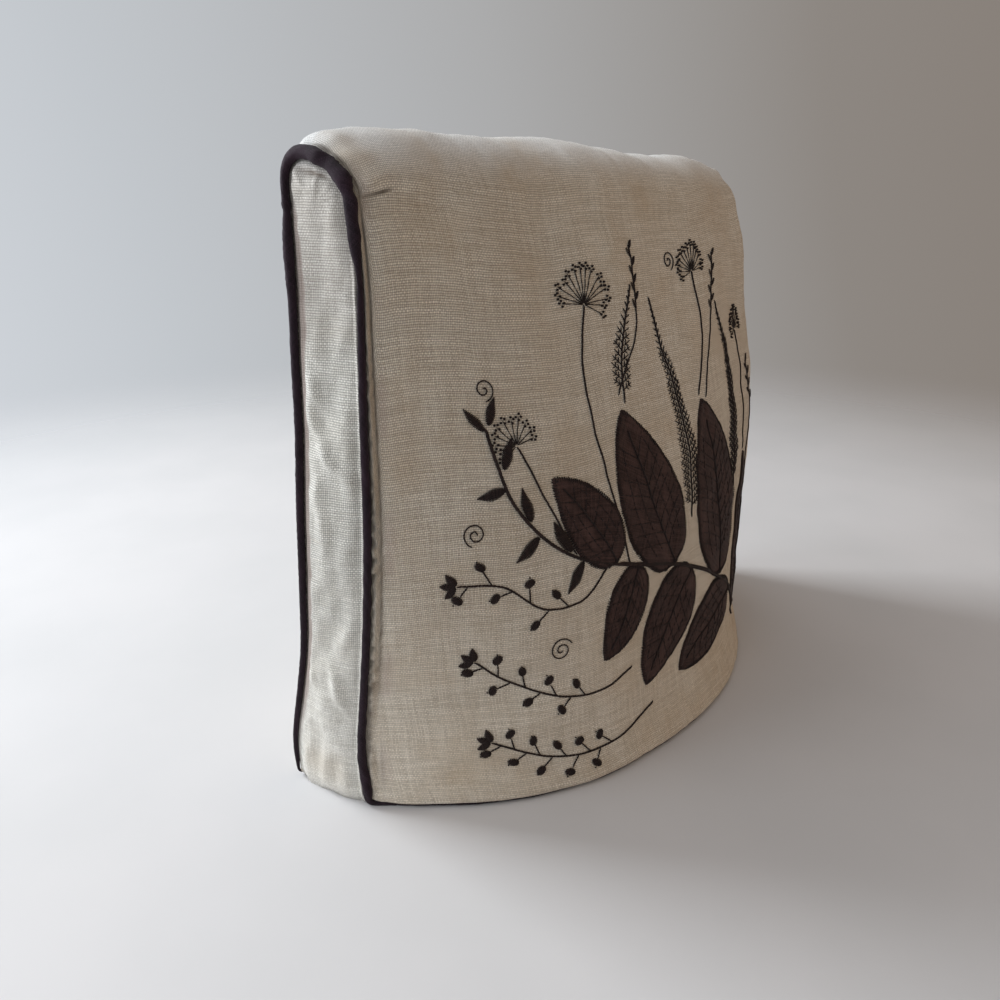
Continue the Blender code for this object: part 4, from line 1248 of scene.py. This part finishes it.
def leaf_threads(row, seed):
    """Overcast edge, inner contour, midrib and side veins of one applique leaf."""
    px, pq, heading, length, width, turn = row
    t, middle, side, half = leaf_lines((px, pq), heading, length, width, turn)
    rng = np.random.default_rng(seed)
    made = []
    ring = np.concatenate([middle + side * half[:, None], (middle - side * half[:, None])[::-1]])
    ring = evenly(ring, 1.15)[0]
    way = unit(np.gradient(ring, axis=0))
    out = turned(way)
    out = -out * np.sign(np.sign(((middle.mean(0) - ring) * out).sum(-1)).mean())
    each = (len(ring), 1)
    reach = rng.uniform(1.2, 2.1, each)
    lean = way * rng.uniform(0.0, 0.5, each)
    over = rng.uniform(0.3, 0.7, each)
    made.append(stitches(ring - out * reach - lean, ring + out * over + lean, 0.34, 0.72, 0.16, 0.5))
    for share in (0.60, 0.32):
        for sign in (1, -1):
            inner = middle + side * (half * share * sign)[:, None]
            inner = inner[(t > 0.14) & (t < 0.84 - 0.2 * (share < 0.5))]
            made.append(stem(evenly(inner, 0.5)[0], 0.80, 0.25, 2.5, 2.2, 0.05, seed + sign))
    made.append(stem(evenly(middle[t < 0.9], 0.5)[0], 0.72, 0.36, 1.5, 3.0, 0.2, seed))
    for at in np.linspace(0.14, 0.72, max(4, int(length / 9))):
        for sign in (1, -1):
            steps = np.linspace(0, 1, 14)
            along = np.clip(at + 0.13 * steps ** 0.8 + rng.uniform(-0.01, 0.01), 0, 0.95)
            reach = 0.84 * steps * sign
            spot = np.stack([np.interp(along, t, middle[:, k]) + reach * np.interp(along, t, half)
                             * np.interp(along, t, side[:, k]) for k in (0, 1)], -1)
            made.append(stem(evenly(spot, 0.4)[0], 0.80, 0.24, 2.0, 2.2, 0.08, seed))
    return made


def stalk(places, thick, pitch=1.5, seed=0):
    """A smooth line, its direction at each point, and a list that its stitches start."""
    line = smooth_line(places)
    return line, unit(np.gradient(line, axis=0)), [stem(line, thick=thick, pitch=pitch, seed=seed)]


def fern(places, longest, seed):
    """A stem with leaflets on both sides, each with its own short twigs."""
    line, ways, made = stalk(places, 0.32, seed=seed)
    rng = np.random.default_rng(seed)
    spots = np.arange(12, len(line) - 1, 6)
    for k in spots:
        t = k / len(line)
        size = longest * (1 - t) ** 0.75 * min(1.0, 0.45 + 3 * t) * rng.uniform(0.9, 1.08)
        lean = 62 - 22 * t
        for sign in (1, -1):
            way = rotated(ways[k], lean * sign)
            base = line[k] + ways[k] * (1.2 if sign > 0 else -0.2)
            made.append(stitches(base, base + way * size, 0.25, 0.28, 0.2))
            for m in range(1, int(size / 2.0)):
                foot = base + way * (m * 2.0)
                for twig in (1, -1):
                    tip = foot + rotated(way, 48.0 * twig) * (2.4 - 0.14 * m)
                    made.append(stitches(foot, tip, 0.22, 0.26, 0.18))
    return made


def umbel(places, rays, size, seed):
    """A stalk with a fan of rays, which end in knots."""
    line, _, made = stalk(places, 0.34, seed=seed)
    top, way = line[-1], unit(line[-1] - line[-8])
    head = direction(way)
    ring = np.array([1.5, 1.15, 0.9, 1.2])[:, None]
    rng = np.random.default_rng(seed)
    for angle in np.linspace(-98, 98, rays):
        long = size * (1 - 0.22 * abs(angle / 98) ** 2) * rng.uniform(0.88, 1.06)
        to = facing(head + angle + rng.uniform(-3, 3))
        cuts = np.linspace(0.6, long, max(2, int(long / 4.5) + 1))
        ends = top + to * cuts[:-1, None], top + to * (cuts[1:, None] + 0.3)
        made.append(stitches(*ends, 0.22, 0.24, 0.24))
        around = facing(head + angle + np.array([0, 90, 200, 300])) * ring
        made += knot(top + to * long + around, 0.78)
    return made


def sprig(places, berries, seed):
    """A stalk with berries hanging on both sides and three petals at its end."""
    line, ways, made = stalk(places, 0.34, seed=seed)
    rng = np.random.default_rng(seed)
    for n, k in enumerate(np.linspace(len(line) * 0.34, len(line) - 10, berries * 2).astype(int)):
        sign = 1 if n % 2 else -1
        to = unit(turned(ways[k]) * sign + ways[k] * 0.8)
        long = rng.uniform(5.0, 7.5)
        twig = line[k] + to * np.linspace(0, long, 12)[:, None]
        made.append(stem(twig, thick=0.24, pitch=1.2, reach=2.2, seed=n))
        made.append(satin(line[k] + to * (long + 1.8), rng.uniform(0, 180), 4.3, 4.3))
        made += knot(line[k] + to * (long + 4.3), 0.5)
    heading = direction(ways[-1])
    for turn in (-48, 0, 48):
        made.append(satin(line[-1] + facing(heading + turn) * 3.6, heading + turn, 6.0, 3.8, tip=1.5))
    return made


def grass(places, seed):
    """A stalk with grains on both sides of its upper part."""
    line, ways, made = stalk(places, 0.28, 1.7, seed)
    for n, k in enumerate(range(len(line) - 4, int(len(line) * 0.58), -7)):
        to = unit(ways[k] + turned(ways[k]) * (0.75 if n % 2 else -0.75))
        made.append(satin(line[k] + to * 2.4, direction(to), 4.6, 1.9, 0.25, 0.3, 1.4, 0.6, 0.28))
    return made


def tendril(px, pq, size, first, turns):
    """A spiral line that winds inwards."""
    t = np.linspace(0, 1, 120)
    spots = np.array([px, pq]) + facing(first + turns * 360 * t) * (size * (1 - 0.85 * t))[:, None]
    return stem(evenly(spots, 0.4)[0], thick=0.24, pitch=1.15, reach=2.2, slant=0.14)


def build_needlework():
    """The leaves with their stitches, and all the rest in one object of thread."""
    made, leaves = [], []
    for n, row in enumerate(LEAVES):
        leaf_patch(f"applique_leaf_{n + 1}", row, 200 + n)
        leaves += leaf_threads(row, 300 + n)
    made.append(stem(smooth_line(BOUGH), 0.42, 0.56, 1.6, 3.6, 0.42, 1))
    made.append(stem(smooth_line(BOUGH)[:300] + 0.55, 0.36, 0.46, 1.7, 3.6, 0.3, 2))
    for n, (px, pq, heading, length, width) in enumerate(SMALL_LEAVES):
        spot = np.array([px, pq]) + facing(heading) * (length / 2 + 1)
        made.append(satin(spot, heading, length, width, tip=1.7, pitch=0.6))
    for n, (places, berries) in enumerate(SPRIGS):
        made += sprig(places, berries, 20 + n)
    for n, (places, longest) in enumerate(FERNS):
        made += fern(places, longest, 40 + n)
    for n, (places, rays, size) in enumerate(UMBELS):
        made += umbel(places, rays, size, 60 + n)
    for n, places in enumerate(GRASSES):
        made += grass(places, 80 + n)
    made += [tendril(*row) for row in TENDRILS]
    for name, sets in (("embroidery", made), ("leaf_stitches", leaves)):
        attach(thread_object(name, sets), "root")


build_needlework()


# ---- floor, light, camera ----
FLOOR_RINGS, FLOOR_SIDES, FLOOR_RADIUS = 24, 64, 1600.0
FLOOR_FADE = (0.32, 0.95)                  # metres from the middle, between which the floor fades out
FLOOR_TONES = (0.62, 0.61, 0.61), (0.655, 0.64, 0.64)
BRIGHT_WAY = (-0.78, 0.58, -0.20)          # the room is brightest in this direction
ROOM_TONES = (
    # place from the dark end to the bright one, colour
    (0.0, (0.22, 0.172, 0.135)),
    (1.0, (0.95, 1.0, 1.08)),
    (0.26, (0.295, 0.268, 0.245)),
    (0.42, (0.452, 0.452, 0.455)),
    (0.62, (0.60, 0.63, 0.665)),
)
ROOM_STRENGTH = 0.9
LIGHTS = (
    # name, place, what it points at, width and height, watts, colour
    ("window", (-0.48, 0.95, 0.88), (-0.05, 0.0, 0.10), (0.5, 0.55), 15.5, (0.91, 0.96, 1.0)),
    ("window_left", (-1.0, 0.50, 0.42), (-0.10, 0.0, 0.12), (0.5, 0.5), 4.2, (0.92, 0.96, 1.0)),
    ("room", (0.75, -0.9, 0.60), (0.10, -0.05, 0.0), (0.9, 0.5), 1.9, (1.0, 0.64, 0.34)),
)
CAMERA_PLACE, CAMERA_TILT, CAMERA_TURN = (-0.29356, -0.22198, 0.2408), 69.025, -45.168
CAMERA_SENSOR, CAMERA_LENS = 36.0, 29.16


def build_floor():
    """Round pale floor that fades into the background."""
    rings, around = FLOOR_RINGS, FLOOR_SIDES
    points = [(0.0, 0.0, 0.0)]
    for i in range(1, rings + 1):
        r = FLOOR_RADIUS * (i / rings) ** 1.5
        angles = np.arange(around) / around * 2 * math.pi
        points += [(r * math.cos(a), r * math.sin(a), 0.0) for a in angles]
    faces = [[0, 1 + j, 1 + (j + 1) % around] for j in range(around)]
    for i in range(rings - 1):
        for j in range(around):
            a, b = 1 + i * around + j, 1 + i * around + (j + 1) % around
            faces.append([a, a + around, b + around, b])
    n = Nodes("floor_pale")
    place = n.add("ShaderNodeNewGeometry").outputs["Position"]
    grain = n.noise(place, 9.0, 4.0)
    colour = n.mix(n.step(grain, 0.3, 0.7), *FLOOR_TONES)
    n.finish(colour, 0.6, 0.0, 0.25)
    far = n.add("ShaderNodeVectorMath", operation="LENGTH")
    n.put(far.inputs[0], place)
    clear = n.add("ShaderNodeBsdfTransparent")
    both = n.add("ShaderNodeMixShader")
    n.put(both.inputs[0], n.step(far.outputs["Value"], *FLOOR_FADE))
    n.put(both.inputs[1], n.shader.outputs[0])
    n.put(both.inputs[2], clear.outputs[0])
    n.put(n.tree.nodes["Material Output"].inputs[0], both.outputs[0])
    new_object("floor", points, faces, n.material)


def build_world():
    """A soft room: bright and cool behind on the left, dim and warm on the other side."""
    world = bpy.data.worlds.new("soft_room")
    world.use_nodes = True
    tree = world.node_tree
    back = tree.nodes["Background"]
    where = tree.nodes.new("ShaderNodeTexCoord").outputs["Generated"]
    lean = tree.nodes.new("ShaderNodeVectorMath")
    lean.operation = "DOT_PRODUCT"
    lean.inputs[1].default_value = BRIGHT_WAY
    tree.links.new(where, lean.inputs[0])
    ramp_node = tree.nodes.new("ShaderNodeValToRGB")
    stops = ramp_node.color_ramp.elements
    for stop, (place, shade) in zip(stops, ROOM_TONES):
        stop.position, stop.color = place, (*shade, 1)
    for place, shade in ROOM_TONES[2:]:
        stops.new(place).color = (*shade, 1)
    half = tree.nodes.new("ShaderNodeMath")
    half.operation = "MULTIPLY_ADD"
    half.inputs[1].default_value = half.inputs[2].default_value = 0.5
    tree.links.new(lean.outputs["Value"], half.inputs[0])
    tree.links.new(half.outputs[0], ramp_node.inputs[0])
    tree.links.new(ramp_node.outputs[0], back.inputs[0])
    back.inputs[1].default_value = ROOM_STRENGTH
    bpy.context.scene.world = world


def area_light(name, place, target, size, power, colour):
    """A soft rectangular light that the camera doesn't see."""
    light = bpy.data.lights.new(name, "AREA")
    light.shape = "RECTANGLE"
    light.size, light.size_y = size
    light.energy = power
    light.color = colour
    obj = bpy.data.objects.new(name, light)
    bpy.context.scene.collection.objects.link(obj)
    obj.location = place
    obj.visible_camera = False
    aim = np.array(target) - np.array(place)
    flat = math.hypot(aim[0], aim[1])
    obj.rotation_euler = (math.atan2(flat, -aim[2]), 0.0, math.atan2(aim[1], aim[0]) - math.pi / 2)


build_floor()
build_world()
for row in LIGHTS:
    area_light(*row)
bpy.context.scene.view_settings.view_transform = "Standard"

camera_data = bpy.data.cameras.new("camera")
camera_data.sensor_width = CAMERA_SENSOR
camera_data.lens = CAMERA_LENS
camera = bpy.data.objects.new("camera", camera_data)
bpy.context.scene.collection.objects.link(camera)
camera.location = CAMERA_PLACE
camera.rotation_euler = (math.radians(CAMERA_TILT), 0.0, math.radians(CAMERA_TURN))
bpy.context.scene.camera = camera
